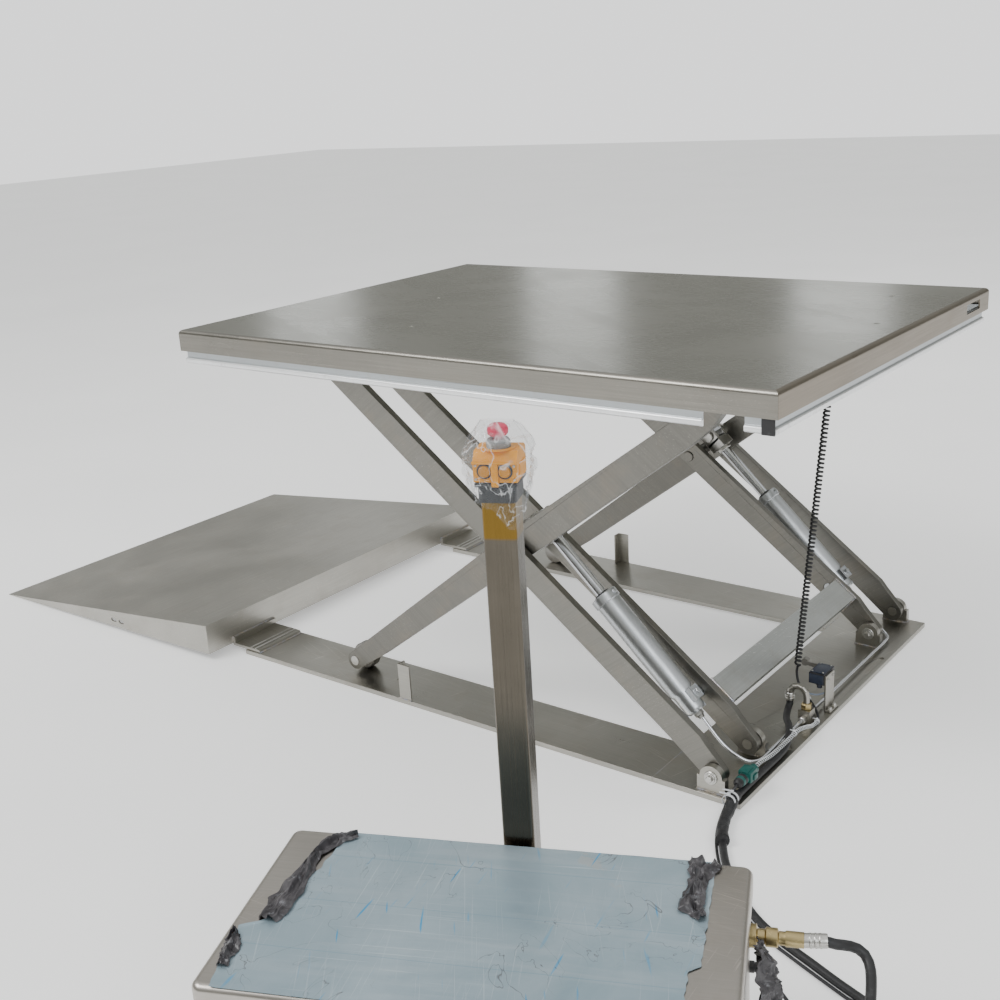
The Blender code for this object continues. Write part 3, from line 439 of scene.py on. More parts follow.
def make_looks():
    """Every material: those of the record's slots first, then those of single nodes and pieces."""
    steel = (0.44, 0.426, 0.386)
    across_table = (0, 0, pi / 2)
    along_barrel = (0, radians(43.75), 0)
    lip_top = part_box("trip_bar_front")[0].z + 0.0125
    brushed("stainless", steel, 0.3)
    rolled("deck_stainless", (0.4, 0.395, 0.355), 0.25)
    # Painted highlight: the near-white first colour paints the trip bar's lip as lit.
    trip_extrusion("trip_aluminium", (0.97, 0.98, 0.99), (0.5, 0.53, 0.55), lip_top, 0.3)
    polished("rod_chrome", (0.8, 0.82, 0.86), 0.07, along_barrel)
    brushed("roller_steel", (0.36, 0.35, 0.33), 0.36, (pi / 2, 0, 0), (60, 60, 500))
    moulded("black_plastic", (0.022, 0.022, 0.024), 0.42)
    moulded("black_rubber", (0.018, 0.018, 0.019), 0.5, 500.0)
    moulded("teal_plastic", (0.004, 0.088, 0.074), 0.38, 700.0, 0.1)
    brushed("brass_fitting", (0.5, 0.4, 0.2), 0.3, grain=(80, 80, 400), marks=0.7)
    moulded("yellow_plastic", (0.86, 0.35, 0.0), 0.44, 800.0, 0.02)
    moulded("grey_plastic", (0.27, 0.28, 0.28), 0.42)
    moulded("red_plastic", (0.7, 0.012, 0.075), 0.3, 800.0, 0.06)

    weld_metal("weld_bead")
    brushed("bolt_steel", (0.62, 0.61, 0.58), 0.28, grain=(150, 150, 150), marks=0.5)
    moulded("pale_nylon", (0.7, 0.72, 0.74), 0.4, 600.0, 0.15)
    moulded("pale_yellow_plastic", (0.62, 0.25, 0.0), 0.4, 800.0, 0.03)
    moulded("navy_plastic", (0.02, 0.028, 0.05), 0.36)
    moulded("grey_blue_strap", (0.22, 0.26, 0.33), 0.45)
    film_blue("blue_film")
    film_grey("torn_film")
    film_clear("clear_film")
    # Painted shade: the arms get darker copies of the stainless, standing in for the shade they sit in under the
    # platform.
    brushed("cylinder_arm_shaded_steel", shade(steel, 0.56), 0.34, (0, LIFT_ANGLE, 0))
    brushed("crossing_arm_shaded_steel", shade(steel, 0.5), 0.34, (0, -LIFT_ANGLE, 0))
    brushed("barrel_steel", (0.62, 0.64, 0.66), 0.3, along_barrel, (200, 20, 20), 0.6)
    # Painted shade: the platform's upright sides get darker, warmer copies of the stainless than its top.
    brushed("fascia_shaded_steel", (0.29, 0.276, 0.245), 0.28, marks=0.6)
    brushed("end_fascia_shaded_steel", (0.27, 0.235, 0.19), 0.28, across_table, marks=0.6)
    brushed("cross_tube_steel", (0.66, 0.68, 0.665), 0.36, across_table)
    brushed("ramp_steel", (0.52, 0.505, 0.465), 0.36, across_table, marks=0.7)
    brushed("power_unit_steel", (0.5, 0.47, 0.43), 0.3, (0, 0, -UNIT_TURN))
    amber_steel("post_steel", (0.135, 0.119, 0.096), 0.22, POST_HIGH.z - 0.052, POST_HIGH.z + 0.01)


NODE_LOOKS = {
    # The fascia looks carry painted shade: darker copies of the stainless.
    "fascia_shaded_steel": "fascia_front fascia_back",
    "end_fascia_shaded_steel": "fascia_left fascia_right",
    # The arm looks carry painted shade: darker copies of the stainless.
    "cylinder_arm_shaded_steel": "arm_plate_outer arm_plate_inner centre_pin",
    "crossing_arm_shaded_steel": "crossing_arm",
    "cross_tube_steel": "arm_cross_tube",
    "ramp_steel": "ramp",
    "barrel_steel": "barrel",
    "power_unit_steel": "power_unit_case power_unit_lid",
    "post_steel": "post",
    "pale_yellow_plastic": "up_button down_button",
}


def dress_nodes():
    """Gives every CAD node its look, soft edges and smooth round faces."""
    slots = {entry["node"]: entry["material_slot"] for entry in frame["record"]["subparts"]}
    own = {node: look for look, nodes in NODE_LOOKS.items() for node in nodes.split()}
    for name, node in frame["nodes"].items():
        kind = name.removesuffix("_near").removesuffix("_far")
        for spot in node.material_slots:
            spot.link = "OBJECT"
            spot.material = LOOKS[own.get(kind, slots[name])]
        for face in node.data.polygons:
            face.use_smooth = True
        weld = node.modifiers.new("weld", "WELD")
        weld.merge_threshold = 0.00002
        edge = node.modifiers.new("edge", "BEVEL")
        edge.width = 0.0009
        edge.segments = 2
        edge.limit_method = "ANGLE"
        edge.angle_limit = radians(38)
        node.modifiers.new("normals", "WEIGHTED_NORMAL")


# Mesh building


def piece(name, bm, look, body="base", smooth=38):
    bmesh.ops.recalc_face_normals(bm, faces=bm.faces)
    mesh = bpy.data.meshes.new(name)
    bm.to_mesh(mesh)
    bm.free()
    for face in mesh.polygons:
        face.use_smooth = True
    mesh.set_sharp_from_angle(angle=radians(smooth))
    mesh.materials.append(LOOKS[look])
    made = link(name, mesh)
    if body:
        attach(made, body)
    return made


def add_ring(bm, middle, sideways, upright, radius, sides):
    made = []
    for i in range(sides):
        turn = 2 * pi * i / sides
        made.append(bm.verts.new(middle + radius * (sideways * cos(turn) + upright * sin(turn))))
    return made


def add_tube(bm, points, radii, sides=10):
    """A round tube along points, with one radius or a radius for each point."""
    if isinstance(radii, float):
        radii = [radii] * len(points)
    steps = [(b - a).normalized() for a, b in pairwise(points)]
    ways = [steps[0]] + [(a + b).normalized() for a, b in pairwise(steps)] + [steps[-1]]
    sideways = ways[0].orthogonal().normalized()
    rings = []
    for point, way, radius in zip(points, ways, radii):
        sideways = (sideways - way * sideways.dot(way)).normalized()
        rings.append(add_ring(bm, point, sideways, way.cross(sideways), radius, sides))
    for one, two in pairwise(rings):
        for i in range(sides):
            j = (i + 1) % sides
            bm.faces.new((one[i], one[j], two[j], two[i]))
    bm.faces.new(rings[0])
    bm.faces.new(rings[-1])


def add_lathe(bm, profile, start, way, sides=28):
    """Turns (radius, distance) points about a line; radius 0 closes an end."""
    way = Vector(way).normalized()
    sideways = way.orthogonal().normalized()
    upright = way.cross(sideways)
    rings = []
    for radius, distance in profile:
        middle = Vector(start) + way * distance
        if radius == 0:
            rings.append([bm.verts.new(middle)])
        else:
            rings.append(add_ring(bm, middle, sideways, upright, radius, sides))
    pairs = list(pairwise(rings))
    if len(rings[0]) > 1:
        pairs.append((rings[-1], rings[0]))
    for one, two in pairs:
        for i in range(sides):
            j = (i + 1) % sides
            corners = [one[i % len(one)], one[j % len(one)], two[j % len(two)], two[i % len(two)]]
            bm.faces.new(list(dict.fromkeys(corners)))


def add_disc(bm, radius, thick, spot, way):
    add_lathe(bm, [(0, 0), (radius, 0), (radius, thick), (0, thick)], spot, way)


def add_block(bm, middle, size, soft, turn=None):
    """A box with rounded edges, turned about its middle."""
    turn = turn or Matrix.Identity(3)
    made = bmesh.ops.create_cube(bm, size=1.0)["verts"]
    for vert in made:
        vert.co = Vector(middle) + turn @ Vector([a * b for a, b in zip(vert.co, size)])
    edges = list(dict.fromkeys(edge for vert in made for edge in vert.link_edges))
    bmesh.ops.bevel(bm, geom=edges, offset=soft, segments=2, affect="EDGES", profile=0.5)


def add_bolt(bm, spot, way, flats=0.013, high=0.008):
    """A washer and a chamfered hexagon head standing on a face."""
    washer, thick = flats * 0.85, 0.0018
    rim = [(0, 0), (washer, 0), (washer, 0.0012), (washer - 0.0005, thick), (0, thick)]
    add_lathe(bm, rim, spot, way)
    corner = flats / 2 / cos(pi / 6)
    head = [(0, 0), (corner, 0), (corner, high * 0.85), (corner * 0.88, high), (0, high)]
    add_lathe(bm, head, Vector(spot) + Vector(way).normalized() * thick, way, 6)


def add_pin_head(bm, radius, spot, way):
    """A chamfered washer with a bolt on it, over the end of a pin."""
    thick = 0.003
    washer = [(0, 0), (radius, 0), (radius, 0.002), (radius - 0.001, thick), (0, thick)]
    add_lathe(bm, washer, spot, way)
    add_bolt(bm, spot + way * thick, way, 0.013, 0.006)


def add_screw(bm, spot, way, radius=0.0032):
    """A small domed screw head with a socket."""
    high = radius * 0.8
    dome = [(0, 0), (radius, 0), (radius, high * 0.4), (radius * 0.8, high * 0.9), (radius * 0.55, high)]
    dome += [(radius * 0.5, high * 0.4), (0, high * 0.35)]
    add_lathe(bm, dome, spot, way, 18)


def even(points, spacing):
    """The same line with points every spacing metres."""
    made = [points[0].copy()]
    left = spacing
    for a, b in pairwise(points):
        step = (b - a).length
        while step >= left:
            a = a + (b - a).normalized() * left
            made.append(a)
            step -= left
            left = spacing
        left -= step
    if (points[-1] - made[-1]).length > spacing * 0.3:
        made.append(points[-1].copy())
    return made


def add_weld(bm, corners, size, seed):
    """A rippled bead along a line of corners."""
    line = even([Vector(c) for c in corners], 0.0011)
    dice = random.Random(seed)
    radii = []
    for i in range(len(line)):
        radii.append(size * (0.92 + 0.16 * sin(2 * pi * i / 4) + dice.uniform(-0.05, 0.05)))
    if len(line) > 2:
        add_tube(bm, line, radii, 8)


def add_strap(bm, centre, way, radius, wide=0.0036, thick=0.0012, tail=0.016):
    """A cable tie round a bundle: a flat band, its square head and the cut-off tail."""
    way = Vector(way).normalized()
    half = wide / 2
    band = [(radius, -half), (radius + thick, -half), (radius + thick, half), (radius, half)]
    add_lathe(bm, band, centre, way, 26)
    up = (UP - way * way.z).normalized()
    sideways = way.cross(up)
    turn = Matrix((sideways, up, way)).transposed()
    head = centre + up * (radius + thick + 0.0012)
    add_block(bm, head, (0.0056, 0.0034, wide + 0.0016), 0.0005, turn)
    add_block(bm, head + sideways * tail / 2 + up * 0.0004, (tail, thick, wide - 0.0006), 0.0003, turn)


def smooth_line(corners, spacing):
    """Evenly spaced points on a smooth curve through the corners."""
    ends = [2 * corners[0] - corners[1], 2 * corners[-1] - corners[-2]]
    knots = ends[:1] + corners + ends[1:]
    dense = []
    for p0, p1, p2, p3 in zip(knots, knots[1:], knots[2:], knots[3:]):
        for i in range(40):
            t = i / 40
            here = 2 * p1 + (p2 - p0) * t + (2 * p0 - 5 * p1 + 4 * p2 - p3) * t * t
            dense.append(0.5 * (here + (3 * p1 - p0 - 3 * p2 + p3) * t**3))
    dense.append(knots[-2])
    return even(dense, spacing)


# Cords: the supply hose, the switch and signal cables, the curly cable and the steel line

HOSE_R = 0.0078
CABLE_R = 0.003
CABLE_STEP = 0.006
TEE_LOW, TEE_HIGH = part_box("tee_fitting")
CRIMP = Vector((TEE_LOW.x + 0.0105, (TEE_LOW.y + TEE_HIGH.y) / 2, 0.058))
PLUG_LOW, PLUG_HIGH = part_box("cable_connector")
PLUG = (PLUG_LOW + PLUG_HIGH) / 2
CURL_TOP = at(1.484, 0.51, TOP - 0.0065)
CURL_FOOT = at(1.411, 0.51, 0.105)
LINE_X, LINE_Z, LINE_R = 1.466, 0.024, 0.004


def cord(name, line, radius, stands_for=None, sides=12, look="black_rubber", body="base", **facts):
    """A round cord along a line, which leaves the object at its start and goes back in at its end."""
    bm = bmesh.new()
    add_tube(bm, line, radius, sides)
    made = piece(name, bm, look, body)
    if stands_for:
        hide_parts(stands_for)
    return made


def supply_hose():
    floor_z = HOSE_R + 0.0008
    plate_z = PLATE_TOP + floor_z
    fitting = on_unit(UNIT_END + 0.075 + GAP, 0.115, 0.235)
    corners = [CRIMP - UP * GAP, CRIMP - UP * 0.01]
    corners += spots((1.428, 0.424, 0.0375), (1.444, 0.384, 0.0385), (1.466, 0.35, 0.0415))
    corners += spots((1.483, 0.31, 0.03), (1.487, 0.27, plate_z), (1.487, 0.18, plate_z))
    corners += spots((1.487, 0.09, plate_z), (1.488, 0.054, plate_z), (1.49, 0.038, plate_z - 0.002))
    corners += spots((1.494, 0.018, plate_z - 0.008), (1.5, -0.01, floor_z), (1.525, -0.07, floor_z))
    corners += spots((1.59, -0.165, floor_z), (1.7, -0.265, floor_z), (1.85, -0.33, floor_z))
    corners += spots((2.000, -0.39, floor_z), (2.095, -0.48, floor_z), (2.125, -0.58, 0.016))
    corners += spots((2.11, -0.66, 0.06), (2.065, -0.7, 0.14))
    corners += [fitting + UNIT_WAY * 0.09 - UP * 0.032, fitting + UNIT_WAY * 0.035, fitting]
    line = smooth_line(corners, 0.012)
    cord("hose", line, HOSE_R, "supply_hose", 20, stiffness="stiff")
    return line


def switch_cable():
    """The straight end of the curly cable, in its spiral wrap, down to the connector."""
    way = (CURL_FOOT - CURL_TOP).normalized()
    corners = [CURL_FOOT + way * 2 * GAP, CURL_FOOT + way * 0.016]
    corners += spots((1.418, 0.503, 0.068), (1.44, 0.49, 0.052), (1.472, 0.474, 0.03))
    corners += spots((1.4895, 0.45, 0.0185), (1.493, 0.415, 0.02), (1.493, 0.38, 0.032))
    corners += spots((1.492, 0.34, 0.042), (1.491, 0.29, 0.0405), (1.489, 0.22, 0.04))
    corners += [Vector((PLUG.x, at(0, 0.172).y, PLUG.z)), Vector((PLUG.x, PLUG_HIGH.y + GAP, PLUG.z))]
    line = smooth_line(corners, CABLE_STEP)
    cord("switch_lead", line, CABLE_R, "switch_cable", stiffness="medium")
    return line


def spiral_wrap(line):
    """A pale ribbon wound round the last stretch of the switch cable."""
    step, turn_every, radius = 0.0006, 0.0068, 0.0037
    core = even([p for p in line if p.y < at(0, 0.452).y], step)
    points = []
    sideways = UP
    for i, (a, b) in enumerate(pairwise(core)):
        way = (b - a).normalized()
        sideways = (sideways - way * sideways.dot(way)).normalized()
        angle = 2 * pi * i * step / turn_every
        points.append(a + radius * (sideways * cos(angle) + way.cross(sideways) * sin(angle)))
    bm = bmesh.new()
    add_tube(bm, points, 0.001, 6)
    piece("spiral_wrap", bm, "pale_nylon")


def curly_cable():
    """A coiled cable hanging at a slant from under the platform."""
    low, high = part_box("curly_cable")
    wire_r = 0.0026
    coil_r = (high.y - low.y) / 2 - wire_r
    way = (CURL_FOOT - CURL_TOP).normalized()
    upright = way.cross(Y_WAY)
    long = (CURL_FOOT - CURL_TOP).length
    pitch, steps, end_long = 0.0098, 14, 0.006
    turns = round((long - 2 * end_long) / pitch)
    points = []
    for i in range(turns * steps + 1):
        angle = 2 * pi * i / steps
        spot = CURL_TOP + way * (end_long + (long - 2 * end_long) * i / (turns * steps))
        points.append(spot + coil_r * (upright * cos(angle) + Y_WAY * sin(angle)))
    aside = upright * coil_r * 0.55
    top = [CURL_TOP, CURL_TOP + way * end_long / 2 + aside]
    foot = [CURL_FOOT - way * end_long / 2 + aside, CURL_FOOT]
    line = top + points + foot
    made = cord("coiled_cable", line, wire_r, "curly_cable", 8, stiffness="medium", lay="hanging")
    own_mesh(made)


def steel_line():
    """The thin line between the two cylinders."""
    foot, along = cylinder_line("near")
    port = foot - along * (0.03 + GAP)
    near = [port, port - along * 0.018]
    near += spots((1.398, 0.178, 0.056), (1.44, 0.186, 0.03), (1.4605, 0.204, LINE_Z))
    near += spots((LINE_X, 0.235, LINE_Z), (LINE_X, 0.3, LINE_Z))
    far = [Vector((p.x, 2 * ORIGIN.y + WIDE - p.y, p.z)) for p in reversed(near)]
    middle = even([near[-1], far[0]], 0.02)
    line = smooth_line(near, 0.006)[:-1] + middle[:-1] + smooth_line(far, 0.006)
    facts = {"stiffness": "stiff", "lay": "taut"}
    made = cord("steel_line", line, LINE_R, "port_line", look="rod_chrome", body=None, **facts)
    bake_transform(made)


def signal_lead(hose_line):
    """The cable from the teal connector, beside the hose, into the back of the power unit."""
    beside_hose, lying_z = 0.0118, 0.0036
    beside = []
    for a, b in pairwise(hose_line):
        if a.y > at(0, 0.04).y or a.z > 0.024:
            continue
        spot = a + Vector((b.y - a.y, a.x - b.x, 0)).normalized() * beside_hose
        spot.z = lying_z if a.y < at(0, 0.026).y else lying_z + PLATE_TOP
        beside.append(spot)
    wall = on_unit(UNIT_END - 0.0045, 0.155, 0.15)
    plug = Vector((PLUG.x, PLUG_LOW.y - GAP, PLUG.z))
    corners = [plug, plug + Vector((0, -0.012, -0.001)), plug + Vector((-0.006, -0.028, -0.018))]
    corners += [p for p in beside if p.y > at(0, -0.385).y][::5]
    corners += [wall + UNIT_WAY * 0.115 - UP * 0.135, wall + UNIT_WAY * 0.06 - UP * 0.06]
    corners += [wall + UNIT_WAY * 0.022 - UP * 0.006, wall]
    line = smooth_line(corners, 0.01)
    for spot in line:
        spot.z = max(spot.z, 0.0035)
    cord("signal_lead", line, CABLE_R, sides=10, stiffness="medium")
    bm = bmesh.new()
    gland = [(0, 0), (0.009, 0), (0.009, 0.007), (0.0075, 0.008), (0.0075, 0.018)]
    gland += [(0.0034, 0.021), (0, 0.021)]
    add_lathe(bm, gland, wall + UNIT_WAY * 0.0002, UNIT_WAY, 12)
    piece("case_gland", bm, "black_plastic")


# Hydraulic and electric details


def hose_details(line):
    """The sleeve where the hose leaves the base, and the ferrules at its two ends."""
    sleeve = [p for p in even(line, 0.0016) if at(0, -0.085).y < p.y < at(0, 0.06).y and p.z < 0.03]
    radii = []
    lifted = []
    for i, spot in enumerate(sleeve):
        slack = 0.0012 * noise.noise(spot * 60)
        flare = 0.0125 * max(0.0, i / len(sleeve) - 0.8)
        radius = 0.0112 + slack + flare + 0.0004 * sin(2 * pi * i / 4)
        ground = PLATE_TOP if spot.y > at(0, 0.05).y else 0
        radii.append(radius)
        lifted.append(Vector((spot.x, spot.y, max(spot.z, ground + radius + 0.0004))))
    bm = bmesh.new()
    add_tube(bm, lifted, radii, 18)
    piece("hose_sleeve", bm, "black_rubber")

    bm = bmesh.new()
    grooves = [(0.0109, 0.0), (0.0115, 0.0015), (0.0109, 0.003), (0.0109, 0.0045)]
    profile = [(0.01, -0.001)] + [(r, d + 0.006 * i) for i in range(3) for r, d in grooves]
    profile += [(0.01, 0.0185)]
    add_lathe(bm, profile, (CRIMP.x, CRIMP.y, 0.0755), -UP)
    piece("elbow_ferrule", bm, "bolt_steel")

    bm = bmesh.new()
    inward = (line[-2] - line[-1]).normalized()
    profile = [(0.0086, -0.002), (0.0105, -0.002), (0.0105, 0.03), (0.0098, 0.032), (0.0086, 0.032)]
    add_lathe(bm, profile, line[-1], inward)
    for i in range(3):
        start = 0.006 + 0.007 * i
        ring = [(0.0104, start), (0.0111, start + 0.001), (0.0111, start + 0.003), (0.0104, start + 0.004)]
        add_lathe(bm, ring, line[-1], inward)
    piece("hose_ferrule", bm, "bolt_steel")


def bundle_ties(cable):
    """Two ties round hose and cables at the base's edge, and three small ones along the cable."""
    bm = bmesh.new()
    for y in (0.046, 0.032):
        add_strap(bm, at(1.4855, y, PLATE_TOP + 0.0125), (0.12, -1, 0), 0.0128, 0.0046, 0.0014, 0.02)
    for distance in (0.084, 0.156, 0.276):
        add_strap(bm, cable[round(distance / CABLE_STEP)], (0.1, -1, 0), 0.0049, 0.003, 0.001, 0.01)
    piece("cable_ties", bm, "pale_nylon")


def connector_details():
    """The square latch housing and black boot of the connector."""
    bm = bmesh.new()
    add_block(bm, PLUG + Vector((0, 0.002, 0.001)), (0.029, 0.03, 0.024), 0.002)
    add_block(bm, PLUG + Vector((0, -0.001, 0.0135)), (0.015, 0.03, 0.004), 0.001)
    for x in (0.015, -0.015):
        add_block(bm, PLUG + Vector((x, 0.006, -0.002)), (0.005, 0.016, 0.012), 0.001)
    piece("connector_housing", bm, "teal_plastic")
    bm = bmesh.new()
    boot = [(0.004, 0.0), (0.011, 0.0), (0.012, 0.003), (0.012, 0.01), (0.0105, 0.011)]
    for i in range(3):
        boot += [(0.0105, 0.013 + 0.005 * i), (0.009, 0.014 + 0.005 * i), (0.009, 0.0165 + 0.005 * i)]
    boot += [(0.0045, 0.03), (0.004, 0.03)]
    add_lathe(bm, boot, (PLUG.x, PLUG_LOW.y + 0.018, PLUG.z), -Y_WAY)
    piece("connector_boot", bm, "black_rubber")


def line_nuts():
    """Nuts on the steel line at the tee and at the cylinders, and the brass nut under the elbow."""
    bm = bmesh.new()
    flat = 0.015
    nut = [(0.0042, 0.0), (flat / 2, 0.0), (flat / 2 + 0.0012, 0.001), (flat / 2 + 0.0012, 0.011)]
    nut += [(flat / 2 - 0.0005, 0.0125), (0.0048, 0.0135), (0.0042, 0.0135)]
    for y, way in ((TEE_LOW.y, -1), (TEE_HIGH.y, 1)):
        add_lathe(bm, nut, Vector((at(LINE_X, 0).x, y, LINE_Z)), (0, way, 0), 6)
    piece("tee_nuts", bm, "bolt_steel")
    bm = bmesh.new()
    nut = [(0.0075, 0.0), (0.0118, 0.0), (0.0124, 0.0012), (0.0124, 0.011), (0.0105, 0.013), (0.0075, 0.013)]
    add_lathe(bm, nut, at(LINE_X, 0.44, 0.0445), UP, 6)
    piece("elbow_nut", bm, "brass_fitting")
    for side, _ in SIDES:
        foot, along = cylinder_line(side)
        bm = bmesh.new()
        port = [(0.0042, 0.029), (0.01, 0.029), (0.0108, 0.03), (0.0108, 0.039), (0.008, 0.0405)]
        port += [(0.0062, 0.047), (0.0042, 0.047)]
        add_lathe(bm, port, foot, -along, 6)
        piece("port_nut_" + side, bm, "bolt_steel", "barrel_" + side)


def switch_details(cable):
    low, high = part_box("switch_body")
    post_low, post_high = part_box("switch_bracket")
    middle = (low + high) / 2
    bm = bmesh.new()
    add_block(bm, (middle.x, low.y - 0.0009, middle.z), (0.033, 0.0022, 0.0225), 0.0008)
    add_block(bm, (middle.x, middle.y, high.z + 0.001), (0.034, 0.05, 0.0024), 0.0008)
    gland = [(0, 0), (0.008, 0), (0.008, 0.006), (0.0062, 0.0075), (0.0062, 0.013), (0, 0.013)]
    add_lathe(bm, gland, (low.x + 0.0205, low.y + 0.014, low.z), -UP, 8)
    piece("switch_covers", bm, "navy_plastic")
    bm = bmesh.new()
    for x in (low.x + 0.006, high.x - 0.006):
        for y in (low.y + 0.007, high.y - 0.007):
            add_screw(bm, (x, y, high.z + 0.0022), UP, 0.0023)
    for y in (low.y + 0.012, high.y - 0.018):
        add_screw(bm, (post_low.x + 0.004, y, middle.z), (1, 0, 0), 0.0034)
    for y in (post_low.y + 0.011, post_high.y - 0.011):
        add_bolt(bm, (post_low.x + 0.0102, y, PLATE_TOP + GAP + 0.004), UP, 0.007, 0.004)
    piece("switch_screws", bm, "bolt_steel")
    bm = bmesh.new()
    plug = [(0, 0), (0.0065, 0), (0.0065, 0.003), (0, 0.003)]
    add_lathe(bm, plug, (low.x + 0.01, high.y - 0.018, low.z), -UP, 18)
    piece("switch_plug", bm, "red_plastic")
    bm = bmesh.new()
    hub = [(0, 0), (0.0075, 0), (0.0075, 0.003), (0.0055, 0.004), (0.004, 0.004), (0.0036, 0.002), (0, 0.002)]
    pivot = Vector(JOINTS["switch_lever_pivot"]["pos_m"])
    add_lathe(bm, hub, pivot + Y_WAY * 0.0047, Y_WAY, 20)
    piece("lever_hub", bm, "bolt_steel", "switch_lever")
    bm = bmesh.new()
    tied = cable[round(0.066 / CABLE_STEP)]
    strap = smooth_line([post_low + Vector((0.001, 0.006, 0.046)), at(1.463, 0.498, 0.052), tied], 0.004)
    add_tube(bm, strap, 0.0022, 8)
    piece("switch_strap", bm, "grey_blue_strap")


# Pins, rings, welds and ribs


def pins():
    """Heads, screws and rings on the ends of the pins and axles."""
    for side, sign in SIDES:
        outward = Vector((0, -sign, 0))
        inward = -outward
        bm = bmesh.new()
        for place, way in (("outer", outward), ("inner", inward)):
            add_pin_head(bm, 0.015, facing(f"base_lug_{side}_{place}", way, BASE_PIVOT), way)
        piece("base_pin_heads_" + side, bm, "bolt_steel")
        bm = bmesh.new()
        add_pin_head(bm, 0.016, facing("platform_lug_" + side, inward, PLATFORM_PIVOT), inward)
        piece("platform_pin_head_" + side, bm, "bolt_steel", "platform")
        bm = bmesh.new()
        add_screw(bm, facing("centre_pin_" + side, outward, CENTRE_PIVOT), outward, 0.0075)
        piece("centre_pin_screw_" + side, bm, "bolt_steel", "cylinder_arm")
        rings = (("upper", inward, 0.0135, 0.0018), ("lower", outward, 0.0125, 0.0014))
        for level, way, radius, thick in rings:
            roller = f"{level}_roller_{side}"
            axle = facing(roller, way)
            bm = bmesh.new()
            add_disc(bm, radius, thick, axle, way)
            if level == "upper":
                add_screw(bm, axle + way * thick, way, 0.006)
            piece(f"{level}_axle_ring_{side}", bm, "bolt_steel", roller)


def welds():
    for side, sign in SIDES:
        bm = bmesh.new()
        lug_thick, foot = 0.016, PLATE_TOP + 0.0008
        for place, inward in (("outer", sign), ("inner", -sign)):
            low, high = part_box(f"base_lug_{side}_{place}")
            y0 = low.y if inward > 0 else high.y
            y1 = y0 + inward * lug_thick
            loop = [(low.x, y0, foot), (high.x, y0, foot), (high.x, y1, foot), (low.x, y1, foot)]
            add_weld(bm, loop + loop[:1], 0.0026, 3)
        foot = PLATE_TOP + 0.0006
        low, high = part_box("deck_stop_" + side)
        outer_y, inner_y = (low.y, high.y) if sign > 0 else (high.y, low.y)
        add_weld(bm, [(high.x, outer_y, foot), (low.x, outer_y, foot), (low.x, inner_y, foot)], 0.002, 5)
        low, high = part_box("ramp_bracket_" + side)
        add_weld(bm, [(high.x, low.y, foot), (high.x, high.y, foot)], 0.0026, 7)
        add_weld(bm, [(low.x + 0.0004, low.y, high.z), (low.x + 0.0004, high.y, high.z)], 0.0024, 8)
        for y in (low.y, high.y):
            add_weld(bm, [(low.x + 0.0006, y, PLATE_TOP + 0.012), (low.x + 0.0006, y, high.z)], 0.0022, 9)
        seam_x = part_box("base_end_plate")[0].x
        low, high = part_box("base_side_plate_" + side)
        seam_z = PLATE_TOP - 0.0021
        add_weld(bm, [(seam_x, low.y + 0.001, seam_z), (seam_x, high.y, seam_z)], 0.0026, 10)
        piece("base_welds_" + side, bm, "weld_bead")

        bm = bmesh.new()
        low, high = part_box("arm_cross_tube")
        end_y = low.y + 0.001 if sign > 0 else high.y - 0.001
        loop = []
        for u, v in ((0.0845, -0.0125), (0.1505, -0.0125), (0.1505, 0.0405), (0.0845, 0.0405)):
            loop.append(Vector((BASE_PIVOT.x, 0, BASE_PIVOT.z)) + ARM_WAY * u + ARM_UP * v + Y_WAY * end_y)
        add_weld(bm, loop + loop[:1], 0.003, 11)
        piece("cross_tube_weld_" + side, bm, "weld_bead", "cylinder_arm")

        bm = bmesh.new()
        low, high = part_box("platform_lug_" + side)
        y0, y1 = (high.y - 0.013, high.y) if sign > 0 else (low.y, low.y + 0.013)
        head = high.z - 0.0012
        three_sides = [(low.x, y0, head), (high.x, y0, head), (high.x, y1, head), (low.x, y1, head)]
        add_weld(bm, three_sides, 0.0026, 12)
        piece("platform_lug_weld_" + side, bm, "weld_bead", "platform")


def bracket_ribs():
    """Two ridges along the flat foot of each ramp bracket."""
    for side, _ in SIDES:
        low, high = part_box("ramp_bracket_" + side)
        bm = bmesh.new()
        for x in (high.x - 0.018, high.x - 0.034):
            middle = Vector((x, (low.y + high.y) / 2, low.z + 0.0088))
            add_block(bm, middle, (0.006, high.y - low.y - 0.004, 0.0026), 0.0008)
        piece("bracket_ribs_" + side, bm, "bolt_steel")


